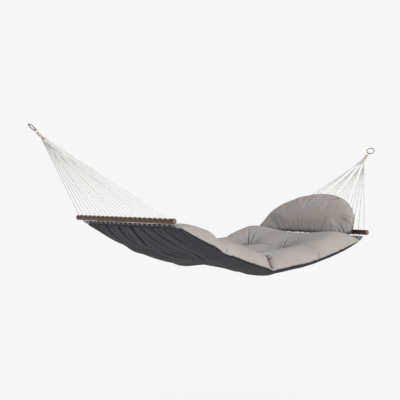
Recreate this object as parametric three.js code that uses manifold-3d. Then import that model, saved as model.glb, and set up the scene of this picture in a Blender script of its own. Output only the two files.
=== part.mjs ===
// Quilted two-person hammock with spreader bars, nettle cords, hanging rings and a half-round pillow.
// Millimetres. X runs from the foot end to the head end, Y across, Z up.
// The parts are laid out round the middle of the bed, and the whole is then moved so that the origin
// is the seat of the hook inside the foot ring.
import * as THREE from "three";
import { mergeVertices } from "three/addons/utils/BufferGeometryUtils.js";
import Module from "manifold-3d";

const wasm = await Module();
wasm.setup();

// Overall layout
const BAR_SPACING = 2000;
const HEAD_BAR_DROP = 80;
const FOOT_REACH = 778;
const HEAD_REACH = 736;
const RING_RISE = 650;

// Spreader bars
const BAR_LENGTH = 1400;
const BAR_DIAMETER = 42;
const BAR_END_ROUNDING = 6;
const BAR_FACETS = 20;

// Hanging rings
const RING_RADIUS = 34;
const RING_WIRE = 8;
const RING_FACETS = 24;
const FOOT_RING_TWIST = -5;
const HEAD_RING_TWIST = 27;

// Rope eye and its neck, measured down from the point where it bears on the ring
const EYE_ROPE = 6;
const EYE_WIDTH = 22;
const EYE_GAP = 0.72;
const RUNNING_GAP = 0.3;
const NECK_RADIUS = 8;
const NECK_TOP = 24;
const NECK_LENGTH = 76;
const NECK_SHOULDER = 5;
const NECK_SIDES = 16;
const FLARE_START = 68;
const FLARE_ACROSS = 43;
const FLARE_DEPTH = 27;
const FLARE_CURVE = 1.5;
const FLARE_SQUARENESS = 2.6;

// Whipping round the neck
const WHIP_CORD = 3.2;
const WHIP_TURNS = 8;
const WHIP_PITCH = 4;
const WHIP_STEPS = 10;
const WHIP_START = 31;

// Nettle cords
const CORD_DIAMETER = 3.6;
const STRAND_SPACING = 4.9;
const PAIR_COLUMNS = 4;
const PAIR_ROWS = 5;
const PAIR_ROW_SPACING = 5;
const HOLE_COUNT = 20;
const HOLE_SPAN = 1290;
const HOLE_DIAMETER = 10;
const ENTRY_CLEARANCE = 3;
const KNOT_DIAMETER = 11;

// Hems and their eyelets
const HEM_THICKNESS = 5;
const HEM_EDGE = 46;
const HEM_END = 75;
const FOOT_HEM_SLOPE = 33;
const HEAD_HEM_SLOPE = 42;
const EYELET_INSET = 16;
const EYELET_DIAMETER = 9;
const EYELET_MARGIN = 16;

// Bed
const BED_WIDTH = 1376;
const BED_SAG = 272;
const SAG_SHARPNESS = 1.5;
const PAD_RISE = 120;
const PAD_FLATNESS = 6;
const SIDE_ROUNDNESS = 0.4;
const SIDE_FULLNESS = 0.48;
const PAD_HANG = 56;
const UNDERSIDE_FLATNESS = 6;
const UNDERSIDE_ROUNDNESS = 0.45;
const PAD_END_RISE = 9;
const PAD_END_HANG = 6;
const FOOT_TAPER = 380;
const HEAD_TAPER = 310;
const TAPER_SHARPNESS = 2.2;
const TUFT_ROWS = [-500, -20, 460];
const TUFT_OFFSET = 233;
const TUFT_RADIUS = 105;
const TUFT_DEPTH = 0.62;
const VALLEY_RADIUS = 85;
const VALLEY_DEPTH = 0.22;
const SIDE_VALLEY_DEPTH = 0.18;
const UNDER_TUFT_RADIUS = 120;
const UNDER_TUFT_DEPTH = 0.4;
const SEAM_KINK = 10;
const SEAM_KINK_RADIUS = 50;
const EDGE_PINCH = 16;
const FOLD_COUNT = 7;
const FOLD_HEIGHT = 7;
const FOLD_REACH = 620;
const COVER_THICKNESS = 3;
const COVER_FEATHER = 30;
const LAYER_GAP = 0.4;
const BED_STEPS = [6, 6, 7, 6];
const SIDE_LINES = [0.5, 0.66, 0.8, 0.91, 0.98, 1];

// Pillow, in the plane of the head cords: along is up the cords from the bar, out is away from them
const PILLOW_WIDTH = 1214;
const PILLOW_HEIGHT = 426;
const PILLOW_CORNER = 24;
const PILLOW_BASE_ALONG = -95;
const PILLOW_BASE_OUT = 68;
const PILLOW_LEAN = -66;
const PILLOW_FRONT = 68;
const PILLOW_BACK = 69;
const PILLOW_EDGE = 4;
const PILLOW_FEATHER = 12;
const PILLOW_ARCH = 1.12;
const PILLOW_FLATNESS = 2.2;
const PILLOW_END_ROUNDNESS = 0.55;
const PILLOW_CROWN_ROUNDNESS = 0.62;
const PILLOW_COLUMNS = 14;
const PILLOW_ROWS = 6;

// Pillow straps
const STRAP_WIDTH = 20;
const STRAP_THICKNESS = 2.2;
const STRAP_EYELETS = [3, 17];
const STRAP_SHIFT = 4.5;
const STRAP_TIP_ALONG = -100.5;
const STRAP_TIP_OUT = 61;
const STRAP_TIP_WIDTH = 7;
const STRAP_STEPS = 14;

// Materials, one for each finish on the object
const FINISHES = {
  steel: { color: 0x5f6062, roughness: 0.35, metalness: 0.9 },
  wood: { color: 0x5f4b44, roughness: 0.55, metalness: 0 },
  cord: { color: 0xe9e6df, roughness: 0.8, metalness: 0 },
  taupe: { color: 0xb2aca7, roughness: 0.9, metalness: 0 },
  charcoal: { color: 0x46444a, roughness: 0.9, metalness: 0 },
  filling: { color: 0xf1efea, roughness: 1, metalness: 0 },
};

const root = new THREE.Group();
const hammock = new THREE.Group();
root.add(hammock);

function addPart(parent, name, geometry, finish) {
  const mesh = new THREE.Mesh(geometry, new THREE.MeshStandardMaterial(FINISHES[finish]));
  mesh.name = name;
  parent.add(mesh);
  return mesh;
}

const radians = THREE.MathUtils.degToRad;
const across = new THREE.Vector3(0, 1, 0);

// One end of the hammock: the bar, the line of its cords and the line of its hem
function makeEnd(name, side, barHeight, reach, hemSlope) {
  const bar = new THREE.Vector3((side * BAR_SPACING) / 2, 0, barHeight);
  const bearing = new THREE.Vector3(bar.x + side * reach, 0, RING_RISE);
  const up = bearing.clone().sub(bar);
  const length = up.length();
  up.normalize();
  const out = new THREE.Vector3(-side * up.z, 0, side * up.x);
  const slope = radians(hemSlope);
  const hem = new THREE.Vector3(-side * Math.cos(slope), 0, -Math.sin(slope));
  const hemOut = new THREE.Vector3(-side * Math.sin(slope), 0, Math.cos(slope));
  return { name, side, bar, bearing, up, out, length, hem, hemOut };
}

const foot = makeEnd("foot", -1, 0, FOOT_REACH, FOOT_HEM_SLOPE);
const head = makeEnd("head", 1, -HEAD_BAR_DROP, HEAD_REACH, HEAD_HEM_SLOPE);

// A point beside a bar: along its cords, across, and out of the plane of its cords
function barPoint(end, along, y, out) {
  return end.bar.clone().addScaledVector(end.up, along).addScaledVector(across, y)
    .addScaledVector(end.out, out);
}

// A point on a hem: down from the bar, across, and out of the hem's face
function hemPoint(end, down, y, out) {
  return end.bar.clone().addScaledVector(end.hem, down).addScaledVector(across, y)
    .addScaledVector(end.hemOut, out);
}

// Booleans
function toSolid(geometry) {
  const bare = geometry.index ? geometry.toNonIndexed() : geometry.clone();
  bare.deleteAttribute("normal");
  bare.deleteAttribute("uv");
  const merged = mergeVertices(bare, 1e-4);
  return new wasm.Manifold(new wasm.Mesh({
    numProp: 3,
    vertProperties: merged.attributes.position.array,
    triVerts: new Uint32Array(merged.index.array),
  }));
}

function toGeometry(solid) {
  const mesh = solid.getMesh();
  const geometry = new THREE.BufferGeometry();
  geometry.setAttribute("position", new THREE.BufferAttribute(new Float32Array(mesh.vertProperties), 3));
  geometry.setIndex(new THREE.BufferAttribute(new Uint32Array(mesh.triVerts), 1));
  geometry.computeVertexNormals();
  return geometry;
}

// A path of straight runs whose sections stand at its points, square to the mean of the two runs there
class CordPath extends THREE.Curve {
  constructor(points) {
    super();
    this.points = points;
  }

  getPointAt(share) {
    return this.points[Math.round(share * (this.points.length - 1))].clone();
  }

  getTangentAt(share) {
    const last = this.points.length - 1;
    const index = Math.round(share * last);
    const tangent = new THREE.Vector3();
    for (const start of [index - 1, index]) {
      if (start < 0 || start >= last) continue;
      tangent.add(this.points[start + 1].clone().sub(this.points[start]).normalize());
    }
    return tangent.normalize();
  }
}

function tubeAlong(points, diameter, sides) {
  const section = new THREE.Shape();
  for (let corner = 0; corner < sides; corner++) {
    const angle = (corner * 2 * Math.PI) / sides;
    const x = (Math.cos(angle) * diameter) / 2;
    const y = (Math.sin(angle) * diameter) / 2;
    if (corner === 0) section.moveTo(x, y);
    else section.lineTo(x, y);
  }
  section.closePath();
  return new THREE.ExtrudeGeometry(section, {
    steps: points.length - 1,
    extrudePath: new CordPath(points),
    bevelEnabled: false,
  });
}

// A closed body between two grids of points. Where the grids meet along an edge, no wall is made.
function bodyBetween(columns, rows, upper, lower) {
  const positions = [];
  const triangle = (a, b, c) => {
    if (a.distanceTo(b) < 1e-6 || b.distanceTo(c) < 1e-6 || c.distanceTo(a) < 1e-6) return;
    positions.push(a.x, a.y, a.z, b.x, b.y, b.z, c.x, c.y, c.z);
  };
  const quad = (a, b, c, d) => {
    triangle(a, b, c);
    triangle(a, c, d);
  };
  for (let i = 0; i < columns; i++) {
    for (let j = 0; j < rows; j++) {
      quad(upper(i, j), upper(i + 1, j), upper(i + 1, j + 1), upper(i, j + 1));
      quad(lower(i, j), lower(i, j + 1), lower(i + 1, j + 1), lower(i + 1, j));
    }
  }
  for (let i = 0; i < columns; i++) {
    quad(lower(i, 0), lower(i + 1, 0), upper(i + 1, 0), upper(i, 0));
    quad(lower(i + 1, rows), lower(i, rows), upper(i, rows), upper(i + 1, rows));
  }
  for (let j = 0; j < rows; j++) {
    quad(lower(0, j + 1), lower(0, j), upper(0, j), upper(0, j + 1));
    quad(lower(columns, j), lower(columns, j + 1), upper(columns, j + 1), upper(columns, j));
  }
  const geometry = new THREE.BufferGeometry();
  geometry.setAttribute("position", new THREE.BufferAttribute(new Float32Array(positions), 3));
  geometry.computeVertexNormals();
  return geometry;
}

// Frame of one hanging point: +Z up the cords, +Y across, the origin where the eye bears on the ring
function hangingFrame(end, twist) {
  const frame = new THREE.Group();
  const normal = new THREE.Vector3().crossVectors(across, end.up);
  const basis = new THREE.Matrix4().makeBasis(normal, across, end.up);
  frame.quaternion.setFromRotationMatrix(basis);
  frame.position.copy(end.bearing);
  const turned = new THREE.Group();
  turned.rotation.z = radians(twist);
  frame.add(turned);
  hammock.add(frame);
  return { frame, turned };
}

// Ring of round wire, its inner facets flat
function ringGeometry() {
  const profile = [];
  const corners = 8;
  for (let corner = 0; corner <= corners; corner++) {
    const angle = ((corner % corners) + 0.5) * ((2 * Math.PI) / corners);
    profile.push(new THREE.Vector2(
      RING_RADIUS + (Math.cos(angle) * RING_WIRE) / 2,
      (Math.sin(angle) * RING_WIRE) / 2,
    ));
  }
  const ring = new THREE.LatheGeometry(profile, RING_FACETS, Math.PI / RING_FACETS);
  ring.rotateZ(Math.PI / 2);
  return ring;
}

const ringCentre = RING_RADIUS - (RING_WIRE + EYE_GAP) / 2;
const ringInnerFlat = (RING_RADIUS - (RING_WIRE / 2) * Math.cos(Math.PI / 8))
  * Math.cos(Math.PI / RING_FACETS);

// The rope eye, spread over the ring and drawn together at the neck
function eyeLoopGeometry() {
  const half = EYE_WIDTH / 2;
  const top = EYE_GAP / 2 + EYE_ROPE / 2;
  const points = [new THREE.Vector3(-half / 2, 0, -NECK_TOP - EYE_ROPE)];
  const bendSteps = 8;
  points.push(new THREE.Vector3(-half, 0, top - half - EYE_WIDTH / 2));
  for (let step = 0; step <= bendSteps; step++) {
    const angle = Math.PI - (step * Math.PI) / bendSteps;
    points.push(new THREE.Vector3(half * Math.cos(angle), 0, top - half + half * Math.sin(angle)));
  }
  points.push(new THREE.Vector3(half, 0, top - half - EYE_WIDTH / 2));
  points.push(new THREE.Vector3(half / 2, 0, -NECK_TOP - EYE_ROPE));
  return tubeAlong(points, EYE_ROPE, 8);
}

// The neck, from the eye down to the flared end where the cords leave it
function neckGeometry() {
  const sections = [];
  for (const share of [0, 0.5, 1]) {
    const turn = (share * Math.PI) / 2;
    const radius = NECK_RADIUS - NECK_SHOULDER * (1 - Math.sin(turn));
    const down = NECK_TOP + NECK_SHOULDER * (1 - Math.cos(turn));
    sections.push({ down, depth: radius, width: radius, power: 2 });
  }
  for (const share of [0, 0.5, 1]) {
    const spread = share ** FLARE_CURVE;
    sections.push({
      down: THREE.MathUtils.lerp(FLARE_START, NECK_TOP + NECK_LENGTH, share),
      depth: THREE.MathUtils.lerp(NECK_RADIUS, FLARE_DEPTH / 2, spread),
      width: THREE.MathUtils.lerp(NECK_RADIUS, FLARE_ACROSS / 2, spread),
      power: THREE.MathUtils.lerp(2, FLARE_SQUARENESS, share),
    });
  }
  const at = (index, corner) => {
    const { down, depth, width, power } = sections[index];
    const angle = ((corner % NECK_SIDES) * 2 * Math.PI) / NECK_SIDES;
    const x = Math.cos(angle);
    const y = Math.sin(angle);
    const reach = (Math.abs(x) ** power + Math.abs(y) ** power) ** (-1 / power);
    return new THREE.Vector3(depth * x * reach, width * y * reach, -down);
  };
  const positions = [];
  const triangle = (a, b, c) => positions.push(...a.toArray(), ...b.toArray(), ...c.toArray());
  const last = sections.length - 1;
  const topCentre = new THREE.Vector3(0, 0, -sections[0].down);
  const endCentre = new THREE.Vector3(0, 0, -sections[last].down);
  for (let corner = 0; corner < NECK_SIDES; corner++) {
    for (let index = 0; index < last; index++) {
      const a = at(index, corner);
      const b = at(index, corner + 1);
      const c = at(index + 1, corner + 1);
      const d = at(index + 1, corner);
      triangle(a, d, c);
      triangle(a, c, b);
    }
    triangle(topCentre, at(0, corner), at(0, corner + 1));
    triangle(endCentre, at(last, corner + 1), at(last, corner));
  }
  const geometry = new THREE.BufferGeometry();
  geometry.setAttribute("position", new THREE.BufferAttribute(new Float32Array(positions), 3));
  return geometry;
}

// Whipping: one cord wound round the neck, its two ends let off straight
function whippingPoints() {
  const steps = WHIP_TURNS * WHIP_STEPS;
  const chord = Math.cos(Math.PI / WHIP_STEPS);
  const radius = (NECK_RADIUS + RUNNING_GAP + WHIP_CORD / 2) / chord;
  const points = [];
  for (let step = 0; step <= steps; step++) {
    const angle = (step * 2 * Math.PI) / WHIP_STEPS;
    const down = WHIP_START + (step * WHIP_PITCH) / WHIP_STEPS + WHIP_CORD / 2;
    points.push(new THREE.Vector3(radius * Math.cos(angle), radius * Math.sin(angle), -down));
  }
  const startRun = points[0].clone().sub(points[1]).setLength(WHIP_CORD);
  const endRun = points[steps].clone().sub(points[steps - 1]).setLength(WHIP_CORD);
  points.unshift(points[0].clone().add(startRun));
  points.push(points[steps + 1].clone().add(endRun));
  return points;
}

// Least distance between turns of a winding, less its own thickness
function leastGap(points, diameter, skip) {
  let least = Infinity;
  for (let a = 0; a < points.length; a++) {
    for (let b = a + skip; b < points.length; b++) {
      least = Math.min(least, points[a].distanceTo(points[b]) - diameter);
    }
  }
  return least;
}

function addHangingPoint(end, twist) {
  const { turned, frame } = hangingFrame(end, twist);
  const ring = addPart(turned, `${end.name}_ring`, ringGeometry(), "steel");
  ring.position.z = ringCentre;
  const eye = toSolid(eyeLoopGeometry()).add(toSolid(neckGeometry()).rotate([0, 0, -twist]));
  addPart(turned, `${end.name}_rope_eye`, toGeometry(eye), "cord");
  const turns = whippingPoints();
  console.log(`${end.name} whipping: least gap between turns`,
    leastGap(turns, WHIP_CORD, WHIP_STEPS / 2).toFixed(2), "mm");
  addPart(frame, `${end.name}_whipping`, tubeAlong(turns, WHIP_CORD, 5), "cord");
}

// Spreader bar, turned with rounded ends and drilled along the line of its cords
const holePitch = HOLE_SPAN / (HOLE_COUNT - 1);
const holeAcross = (hole) => HOLE_SPAN / 2 - hole * holePitch;

function barGeometry() {
  const radius = BAR_DIAMETER / 2;
  const half = BAR_LENGTH / 2;
  const profile = [new THREE.Vector2(0, -half)];
  const roundSteps = 3;
  for (const tip of [-1, 1]) {
    for (let step = 0; step <= roundSteps; step++) {
      const turn = ((tip < 0 ? step : roundSteps - step) / roundSteps) * (Math.PI / 2);
      profile.push(new THREE.Vector2(
        radius - BAR_END_ROUNDING * (1 - Math.sin(turn)),
        tip * (half - BAR_END_ROUNDING * (1 - Math.cos(turn))),
      ));
    }
  }
  profile.push(new THREE.Vector2(0, half));
  let bar = toSolid(new THREE.LatheGeometry(profile, BAR_FACETS));
  for (let hole = 0; hole < HOLE_COUNT; hole++) {
    const drill = new THREE.CylinderGeometry(HOLE_DIAMETER / 2, HOLE_DIAMETER / 2, BAR_DIAMETER * 1.5, 8);
    drill.rotateX(Math.PI / 2);
    drill.translate(0, holeAcross(hole), 0);
    bar = bar.subtract(toSolid(drill));
  }
  return toGeometry(bar);
}

function addBar(end) {
  const { frame } = hangingFrame(end, 0);
  const bar = addPart(frame, `${end.name}_spreader_bar`, barGeometry(), "wood");
  bar.position.z = -end.length;
}

// Eyelets, one more than the holes, spread along each hem
const eyeletSpan = BED_WIDTH - 2 * EYELET_MARGIN;
const eyeletPitch = eyeletSpan / HOLE_COUNT;
const eyeletAcross = (eyelet) => eyeletSpan / 2 - eyelet * eyeletPitch;
const eyeletDown = HEM_EDGE + EYELET_INSET;

// The run of one strand from the neck down through a hole of the bar
function strandDown(end, hole, offset) {
  const column = Math.floor(hole / PAIR_ROWS);
  const row = hole % PAIR_ROWS;
  const startAcross = ((PAIR_COLUMNS - 1) / 2 - column) * 2 * STRAND_SPACING + offset;
  const startOut = (row - (PAIR_ROWS - 1) / 2) * PAIR_ROW_SPACING;
  const holeEntry = BAR_DIAMETER / 2 + ENTRY_CLEARANCE;
  const faceAlong = end.length - NECK_TOP - NECK_LENGTH;
  const entry = barPoint(end, holeEntry, holeAcross(hole) + offset, 0);
  const start = barPoint(end, faceAlong - RUNNING_GAP, startAcross, startOut);
  const run = entry.clone().sub(start).normalize();
  const lean = Math.sqrt(1 - run.dot(end.up) ** 2);
  start.addScaledVector(end.up, (-lean * CORD_DIAMETER) / 2);
  const exit = barPoint(end, -holeEntry, holeAcross(hole) + offset, 0);
  return [start, entry, exit];
}

// The last run of a leg: over the hem's edge on one face, and to the brink of its eyelet
function eyeletTurn(end, eyelet, face, hole, offset) {
  const overEdge = (HEM_THICKNESS + CORD_DIAMETER) / 2 + 3 * RUNNING_GAP;
  const atBrink = CORD_DIAMETER + 2 * RUNNING_GAP;
  const beforeEdge = EYELET_INSET + CORD_DIAMETER / 2;
  const beforeCentre = CORD_DIAMETER / 6;
  const legAcross = holeAcross(hole) + offset - eyeletAcross(eyelet);
  const legDown = eyeletDown - BAR_DIAMETER / 2 - ENTRY_CLEARANCE;
  const place = (before, out) => hemPoint(end, eyeletDown - before,
    eyeletAcross(eyelet) + (legAcross * before) / legDown, face * out);
  return [place(beforeEdge, overEdge), place(beforeCentre, atBrink)];
}

function nettleCord(end, eyelet) {
  const offset = STRAND_SPACING / 2;
  const first = strandDown(end, eyelet - 1, -offset);
  const second = strandDown(end, eyelet, offset);
  return tubeAlong([
    ...first,
    ...eyeletTurn(end, eyelet, 1, eyelet - 1, -offset),
    ...eyeletTurn(end, eyelet, -1, eyelet, offset).reverse(),
    ...second.reverse(),
  ], CORD_DIAMETER, 6);
}

// A corner leg ends in a knot under the hem
function cornerCord(end, corner) {
  const near = corner > 0;
  const hole = near ? HOLE_COUNT - 1 : 0;
  const eyelet = near ? HOLE_COUNT : 0;
  const offset = (near ? -1 : 1) * (STRAND_SPACING / 2);
  const knotOut = -(HEM_THICKNESS / 2 + RUNNING_GAP + KNOT_DIAMETER / 2);
  const knotCentre = hemPoint(end, eyeletDown, eyeletAcross(eyelet), knotOut);
  const leg = tubeAlong([
    ...strandDown(end, hole, offset),
    ...eyeletTurn(end, eyelet, 1, hole, offset),
    knotCentre,
  ], CORD_DIAMETER, 6);
  const knot = new THREE.SphereGeometry(KNOT_DIAMETER / 2, 8, 6);
  knot.translate(knotCentre.x, knotCentre.y, knotCentre.z);
  return toGeometry(toSolid(leg).add(toSolid(knot)));
}

function addCords(end) {
  for (let eyelet = 1; eyelet < HOLE_COUNT; eyelet++) {
    const name = `${end.name}_nettle_cord_${String(eyelet).padStart(2, "0")}`;
    addPart(hammock, name, nettleCord(end, eyelet), "cord");
  }
  addPart(hammock, `${end.name}_corner_cord_far`, cornerCord(end, 0), "cord");
  addPart(hammock, `${end.name}_corner_cord_near`, cornerCord(end, 1), "cord");
}

// Where the bed starts and stops along X, and the heights of its side seam there
const bedHalf = BAR_SPACING / 2 - HEM_END;
const footSeam = foot.bar.z - HEM_END * Math.tan(radians(FOOT_HEM_SLOPE));
const headSeam = head.bar.z - HEM_END * Math.tan(radians(HEAD_HEM_SLOPE));

// Hem: the canvas folded over and stitched, with a row of eyelets
function hemGeometry(end) {
  const half = HEM_THICKNESS / 2;
  const inner = bedHalf + LAYER_GAP;
  const edgeNear = hemPoint(end, HEM_EDGE, 0, half);
  const edgeFar = hemPoint(end, HEM_EDGE, 0, -half);
  const slope = Math.abs(end.hem.z / end.hem.x);
  const innerHeight = end.bar.z - (BAR_SPACING / 2 - inner) * slope;
  const rise = half / Math.abs(end.hem.x);
  const outline = new THREE.Shape([
    new THREE.Vector2(edgeNear.x, edgeNear.z),
    new THREE.Vector2(end.side * inner, innerHeight + rise),
    new THREE.Vector2(end.side * inner, innerHeight - rise),
    new THREE.Vector2(edgeFar.x, edgeFar.z),
  ]);
  const strip = new THREE.ExtrudeGeometry(outline, { depth: BED_WIDTH, bevelEnabled: false });
  strip.rotateX(Math.PI / 2);
  strip.translate(0, BED_WIDTH / 2, 0);
  let hem = toSolid(strip);
  const punchAxis = new THREE.Quaternion().setFromUnitVectors(across, end.hemOut);
  for (let eyelet = 0; eyelet <= HOLE_COUNT; eyelet++) {
    const punch = new THREE.CylinderGeometry(EYELET_DIAMETER / 2, EYELET_DIAMETER / 2, HEM_THICKNESS * 3, 8);
    punch.applyQuaternion(punchAxis);
    const centre = hemPoint(end, eyeletDown, eyeletAcross(eyelet), 0);
    punch.translate(centre.x, centre.y, centre.z);
    hem = hem.subtract(toSolid(punch));
  }
  return toGeometry(hem);
}

// Lines of the bed's grid: every tuft row and column falls on a line
function bedStations() {
  const marks = [-bedHalf, ...TUFT_ROWS, bedHalf];
  const stations = [];
  BED_STEPS.forEach((count, span) => {
    for (let step = 0; step < count; step++) {
      stations.push(THREE.MathUtils.lerp(marks[span], marks[span + 1], step / count));
    }
  });
  stations.push(bedHalf);
  return stations;
}

function bedShares() {
  const tuftShare = TUFT_OFFSET / (BED_WIDTH / 2);
  const half = [0, tuftShare / 2, tuftShare, ...SIDE_LINES];
  return [...half.slice(1).reverse().map((share) => -share), ...half];
}

const stations = bedStations();
const shares = bedShares();
const bell = (distance, radius) => Math.exp(-((distance / radius) ** 2));

function seamHeight(x) {
  const share = (x + bedHalf) / (2 * bedHalf);
  const middle = 1 - Math.abs(2 * share - 1) ** SAG_SHARPNESS;
  let kink = 0;
  for (const row of TUFT_ROWS) kink = Math.max(kink, bell(x - row, SEAM_KINK_RADIUS));
  return THREE.MathUtils.lerp(footSeam, headSeam, share) - BED_SAG * middle - SEAM_KINK * kink;
}

function halfWidth(x) {
  let pinch = 0;
  for (const row of TUFT_ROWS) pinch = Math.max(pinch, bell(x - row, VALLEY_RADIUS));
  return BED_WIDTH / 2 - EDGE_PINCH * pinch;
}

// The pad grows from its thin ends to its full height over a taper at each end
function endShare(x) {
  const fromFoot = Math.min(1, (x + bedHalf) / FOOT_TAPER);
  const fromHead = Math.min(1, (bedHalf - x) / HEAD_TAPER);
  return (1 - (1 - fromFoot) ** TAPER_SHARPNESS) * (1 - (1 - fromHead) ** TAPER_SHARPNESS);
}

function padRise(x, share) {
  const y = share * halfWidth(x);
  const valleyDepth = THREE.MathUtils.lerp(VALLEY_DEPTH, SIDE_VALLEY_DEPTH, share * share);
  let drawn = 0;
  for (const row of TUFT_ROWS) {
    const valley = valleyDepth * bell(x - row, VALLEY_RADIUS);
    drawn = Math.max(drawn, valley);
    for (const column of [-TUFT_OFFSET, TUFT_OFFSET]) {
      const distance = Math.hypot(x - row, y - column);
      drawn = Math.max(drawn, TUFT_DEPTH * Math.exp(-distance / TUFT_RADIUS));
    }
  }
  const round = (1 - Math.abs(share) ** PAD_FLATNESS) ** SIDE_ROUNDNESS;
  const crown = round * (1 + SIDE_FULLNESS * share * share);
  const full = PAD_END_RISE + (PAD_RISE - PAD_END_RISE) * endShare(x);
  return full * crown * (1 - drawn * endShare(x));
}

function padHang(x, share) {
  const y = share * halfWidth(x);
  let drawn = 0;
  for (const row of TUFT_ROWS) {
    for (const column of [-TUFT_OFFSET, TUFT_OFFSET]) {
      const distance = Math.hypot(x - row, y - column);
      drawn = Math.max(drawn, UNDER_TUFT_DEPTH * bell(distance, UNDER_TUFT_RADIUS));
    }
  }
  const crown = (1 - Math.abs(share) ** UNDERSIDE_FLATNESS) ** UNDERSIDE_ROUNDNESS;
  const full = PAD_END_HANG + (PAD_HANG - PAD_END_HANG) * endShare(x) * (1 - drawn);
  const fade = Math.max(0, 1 - (x + bedHalf) / FOLD_REACH);
  const wave = Math.sin(share * Math.PI * FOLD_COUNT + (x + bedHalf) / FOLD_REACH);
  const fold = FOLD_HEIGHT * wave * Math.sin(Math.PI * fade) * (1 - share ** 4);
  return Math.max(full * crown + fold * crown, 0);
}

// A point of the bed: on its upper or under face, set in from the outside by an inset
function bedPoint(column, row, face, inset, gap) {
  const x = stations[column];
  const share = shares[row];
  const rise = face > 0 ? padRise(x, share) : padHang(x, share);
  const thin = Math.min(1, rise / COVER_FEATHER);
  const z = seamHeight(x) + face * (gap + rise - inset * thin);
  return new THREE.Vector3(x, share * (halfWidth(x) - inset), z);
}

function addBed() {
  const columns = stations.length - 1;
  const rows = shares.length - 1;
  const seam = LAYER_GAP / 2;
  const fillInset = COVER_THICKNESS + LAYER_GAP;
  const top = bodyBetween(columns, rows,
    (i, j) => bedPoint(i, j, 1, 0, seam),
    (i, j) => bedPoint(i, j, 1, COVER_THICKNESS, seam));
  const under = bodyBetween(columns, rows,
    (i, j) => bedPoint(i, j, -1, COVER_THICKNESS, seam),
    (i, j) => bedPoint(i, j, -1, 0, seam));
  const filling = bodyBetween(columns, rows,
    (i, j) => bedPoint(i, j, 1, fillInset, 0),
    (i, j) => bedPoint(i, j, -1, fillInset, 0));
  addPart(hammock, "bed_top_cover", top, "taupe");
  addPart(hammock, "bed_underside", under, "charcoal");
  addPart(hammock, "bed_filling", filling, "filling");
}

// Pillow: half-round in outline, its straight edge down, leaning on the head cords
const pillowHalf = PILLOW_WIDTH / 2;

function pillowPoint(column, row, face, inset, gap) {
  const swing = Math.PI * (column / PILLOW_COLUMNS - 0.5);
  const share = Math.sin(swing);
  const arch = Math.cos(swing) ** PILLOW_ARCH;
  const height = PILLOW_CORNER + (PILLOW_HEIGHT - PILLOW_CORNER) * arch;
  const rowShare = 0.5 - 0.5 * Math.cos((Math.PI * row) / PILLOW_ROWS);
  const middle = height / 2;
  const along = PILLOW_BASE_ALONG + middle + (rowShare - 0.5) * (height - 2 * inset);
  const y = share * (pillowHalf - inset);
  const lean = (PILLOW_LEAN * (along - PILLOW_BASE_ALONG)) / PILLOW_HEIGHT;
  const belly = 4 * rowShare * (1 - rowShare);
  const fullness = (1 - Math.abs(share) ** PILLOW_FLATNESS) ** PILLOW_END_ROUNDNESS;
  const deep = PILLOW_BACK * belly * fullness;
  const crown = PILLOW_FRONT * belly ** PILLOW_CROWN_ROUNDNESS * fullness;
  const bulge = (face > 0 ? crown : deep) + PILLOW_EDGE * edgeShare(row, column);
  const thin = Math.min(1, bulge / PILLOW_FEATHER);
  const out = PILLOW_BASE_OUT - lean + face * (gap + bulge - inset * thin);
  return barPoint(head, along, y, out);
}

// The seam stands a little apart from the middle plane inside, and closes at its very edge
function edgeShare(row, column) {
  const inside = row > 0 && row < PILLOW_ROWS && column > 0 && column < PILLOW_COLUMNS;
  return inside ? 1 : 0;
}

function addPillow() {
  const seam = LAYER_GAP / 2;
  const fillInset = COVER_THICKNESS + LAYER_GAP;
  const front = bodyBetween(PILLOW_ROWS, PILLOW_COLUMNS,
    (i, j) => pillowPoint(j, i, 1, 0, seam),
    (i, j) => pillowPoint(j, i, 1, COVER_THICKNESS, seam));
  const back = bodyBetween(PILLOW_ROWS, PILLOW_COLUMNS,
    (i, j) => pillowPoint(j, i, -1, COVER_THICKNESS, seam),
    (i, j) => pillowPoint(j, i, -1, 0, seam));
  const filling = bodyBetween(PILLOW_ROWS, PILLOW_COLUMNS,
    (i, j) => pillowPoint(j, i, 1, fillInset, 0),
    (i, j) => pillowPoint(j, i, -1, fillInset, 0));
  addPart(hammock, "pillow_front_cover", front, "taupe");
  addPart(hammock, "pillow_back_cover", back, "charcoal");
  addPart(hammock, "pillow_filling", filling, "filling");
}

// Strap: a band looped round the head bar, its two lengths sewn together under the pillow's edge
function strapOutline(inset) {
  const radius = BAR_DIAMETER / 2 + RUNNING_GAP + STRAP_THICKNESS - inset;
  const tipHalf = STRAP_TIP_WIDTH / 2 - inset;
  const tipReach = Math.hypot(STRAP_TIP_ALONG, STRAP_TIP_OUT) - inset;
  const direction = Math.atan2(STRAP_TIP_OUT, STRAP_TIP_ALONG);
  const open = Math.acos((radius - tipHalf) / tipReach);
  const points = [];
  for (let step = 0; step <= STRAP_STEPS; step++) {
    const angle = direction + open + ((2 * Math.PI - 2 * open) * step) / STRAP_STEPS;
    points.push(new THREE.Vector2(radius * Math.cos(angle), radius * Math.sin(angle)));
  }
  for (const side of [-1, 1]) {
    points.push(new THREE.Vector2(
      tipReach * Math.cos(direction) - side * tipHalf * Math.sin(direction),
      tipReach * Math.sin(direction) + side * tipHalf * Math.cos(direction),
    ));
  }
  return points;
}

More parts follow.
